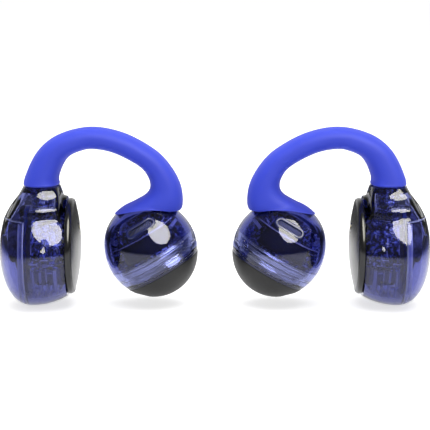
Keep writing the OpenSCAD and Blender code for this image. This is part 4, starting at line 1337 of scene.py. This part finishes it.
chamber_rings = [[(chamber_bore * math.cos(a), chamber_bore * math.sin(a), z * MM)
                  for a in np.radians(chamber_turns)] for z in (chamber_floor, chamber_low)]
for height in np.linspace(chamber_low, chamber_top, 120):
    radii = wall_at(height * MM, chamber_depth(chamber_turns, height) * MM)
    chamber_rings.append([(r * math.cos(a), r * math.sin(a), height * MM)
                          for r, a in zip(radii, np.radians(chamber_turns))])
ball_pair("rear_chamber", loft(chamber_rings), navy_with_painted_sparkle, sharp=30)


def arc_walls(inset, thick, low, high, half_turn, rows=14):
    """A curved strip of wall inside the ball's dome on each broad side. Turn in degrees."""
    profile = ball_arc(ball_wall + inset * MM, low * MM, high * MM, rows)
    profile += ball_arc(ball_wall + (inset + thick) * MM, low * MM, high * MM, rows)[::-1]
    return joined(*[loft([[(r * math.cos(a), r * math.sin(a), z) for r, z in profile]
                          for a in np.radians(np.linspace(turn - half_turn, turn + half_turn, 60))])
                    for turn in (-88, 92)])


def ball_lug(turn, height, length, wide, twist):
    """A small bar on the chamber's wall: turn and twist in degrees, the rest in mm."""
    r, z = float(wall_at(height * MM, 0.08 * MM)), height * MM
    rise = math.atan2(z / ball_half ** 2, r / ball_r ** 2)
    return placed(block(-wide / 2, -length / 2, wide, length, -0.5, 0, 0.03),
                  Matrix.Rotation(math.radians(turn), 4, "Z") @ Matrix.Translation((r, 0, z))
                  @ Matrix.Rotation(math.pi / 2 - rise, 4, "Y")
                  @ Matrix.Rotation(math.radians(twist), 4, "Z"))


# A smooth dark panel covers the groove on each broad side, under a pale moulded bead
panel_black = drifting("panel_black", (0.35, 3), [(0.001, 0.003, 0.024), (0.010, 0.015, 0.075)],
                       (0.32, 0.2), bump=(0.05, 0.5), grain=(0.5, 2), specular_ior_level=0.12)
ball_pair("chamber_panels", arc_walls(0.5, 0.2, -0.1, 2.4, 40), panel_black)
ball_pair("chamber_beads", arc_walls(0.06, 0.14, 2.52, 2.66, 62, 3), pale_rib)

# Pale location lugs stand between the ribs, and contact tabs at the chamber's ends. Their pale colours
# are partly painted highlights, for bright specks inside the ball.
rng = random.Random(8)
lugs = [ball_lug(rng.uniform(*span), rng.uniform(*heights), rng.uniform(0.3, longest),
                 rng.uniform(0.08, 0.2), rng.uniform(-lean, lean))
        for count, span, heights, longest, lean in (
            (44, (0, 360), (2.9, 4.4), 0.9, 25), (14, (125, 235), (-0.2, 2.6), 1.0, 20))
        for _ in range(count)]
tabs = [ball_lug(turn, height, 1.9, 0.45, twist)
        for turn, height, twist in ((-145.5, 3.85, -32), (145.5, 3.85, 32), (-30, 1.9, 8))]
ball_pair("chamber_lugs", joined(*lugs), lugs_painted_sparkle)
ball_pair("contact_tabs", joined(*tabs), painted_highlight_pale)

# The microphone's can stands on its board behind the slot
mic_high = (ball_r - ball_wall) / MM - 0.6
mic = joined(block(-0.75, -1.3, 1.5, 2.6, mic_high - 0.9, mic_high - 0.25, 0.12),
             block(-1.05, -2.0, 2.1, 4.0, mic_high - 0.25, mic_high, 0.03))
one_piece_pair("vent_mics", placed(mic, ball_place @ vent_place), dark_steel)

# ---- Floor, light and camera ----------------------------------------------------------
# The pair stands on a white sweep under a soft overhead light, with a large window of
# light in front and to the right, which the polished shells mirror.
floor_half, floor_z = 3.0, cad_box[0][2] - 0.02 * MM
dim_from, dim_to, floor_glow = 45 * MM, 110 * MM, 0.67
white = (1.0, 1.0, 1.0, 1.0)


def sweep_finish():
    """White paper that glows where it is seen, and is dim in reflections far from the pair."""
    finish = Finish("white_sweep")
    mirrored_in = finish.ray("Glossy")
    seen = finish.highest(finish.ray("Camera"), mirrored_in, finish.ray("Transmission"))
    away = finish.node("VectorMath", {"operation": "LENGTH"}, {0: finish.place}, "Value")
    far = finish.from_to(away, dim_from, dim_to, smooth=True)
    paper = finish.node("BsdfDiffuse", {}, {"Color": (0.80, 0.80, 0.80, 1.0)})
    glow = finish.node("Emission", {}, {"Color": white, "Strength": seen * floor_glow})
    bright = finish.node("AddShader", {}, {0: paper, 1: glow})
    dim_paper = finish.node("BsdfDiffuse", {}, {"Color": (0.10, 0.10, 0.10, 1.0)})
    both = finish.node("MixShader", {}, {0: mirrored_in * far, 1: bright, 2: dim_paper})
    finish.node("OutputMaterial", {}, {"Surface": both})
    return finish.owner


def studio_world():
    """White to the camera. Mirrors and glass see a white wall behind, and a dim room in front."""
    room = Finish("studio", bpy.data.worlds.new("studio"))
    glossy, sent = room.ray("Glossy"), room.ray("Transmission")
    way = room.node("TexCoord", {}, {}, "Generated")
    back = room.node("SeparateXYZ", {}, {"Vector": way}, "Y")
    through = room.from_to(back, -0.5, 0.75, 0.1, 1.0, smooth=True) * sent
    mirrored_wall = room.from_to(back, 0.6, 1.0, 0.06, 1.0, smooth=True) * glossy
    wall_share = room.highest(room.ray("Camera"), room.highest(through, mirrored_wall))
    shown, ambient, fill = [room.node("Background", {}, {"Color": white, "Strength": strength})
                            for strength in (1.0, 0.12, 0.42)]
    dim = room.node("MixShader", {}, {0: room.highest(glossy, sent), 1: fill, 2: ambient})
    sky = room.node("MixShader", {}, {0: wall_share, 1: dim, 2: shown})
    room.node("OutputWorld", {}, {"Surface": sky})
    return room.owner


def area_light(name, shape, place, aim, width, height, radiance):
    """A flat light whose face shines with this radiance."""
    data = bpy.data.lights.new(name, "AREA")
    data.shape = shape
    data.size, data.size_y = width, height
    data.energy = radiance * math.pi * width * height
    lamp = bpy.data.objects.new(name, data)
    bpy.context.scene.collection.objects.link(lamp)
    lamp.location = place
    lamp.rotation_euler = (Vector(aim) - Vector(place)).to_track_quat("-Z", "Y").to_euler()
    return lamp


floor_corners = [(floor_half * x, floor_half * y, floor_z)
                 for x, y in ((-1, -1), (1, -1), (1, 1), (-1, 1))]
mesh_piece("sweep", (floor_corners, [(0, 1, 2, 3)]), sweep_finish())
bpy.context.scene.world = studio_world()

overhead = area_light("overhead", "RECTANGLE", (0.03, -0.03, 0.42), (0, 0, -0.005), 0.50, 0.50, 2.7)
overhead.visible_glossy = False
overhead.visible_transmission = False
window = area_light("window", "ELLIPSE", (0.130, -0.206, 0.240), (0, 0, -0.008), 0.33, 0.38, 9.5)
window.data.color = (1.0, 0.98, 0.86)
window.visible_diffuse = False

camera_data = bpy.data.cameras.new("camera")
camera_data.lens = 125
camera_data.sensor_width = 36
camera_data.clip_start = 0.01
camera_data.clip_end = 20
camera = bpy.data.objects.new("camera", camera_data)
bpy.context.scene.collection.objects.link(camera)
camera_away, camera_rise = 0.2183, math.radians(9)
camera_aim = Vector((0, 0, -0.0054))
camera.location = camera_aim + Vector((0, -math.cos(camera_rise), math.sin(camera_rise))) * camera_away
camera.rotation_euler = (camera_aim - camera.location).to_track_quat("-Z", "Y").to_euler()
bpy.context.scene.camera = camera
bpy.context.scene.view_settings.view_transform = "Standard"
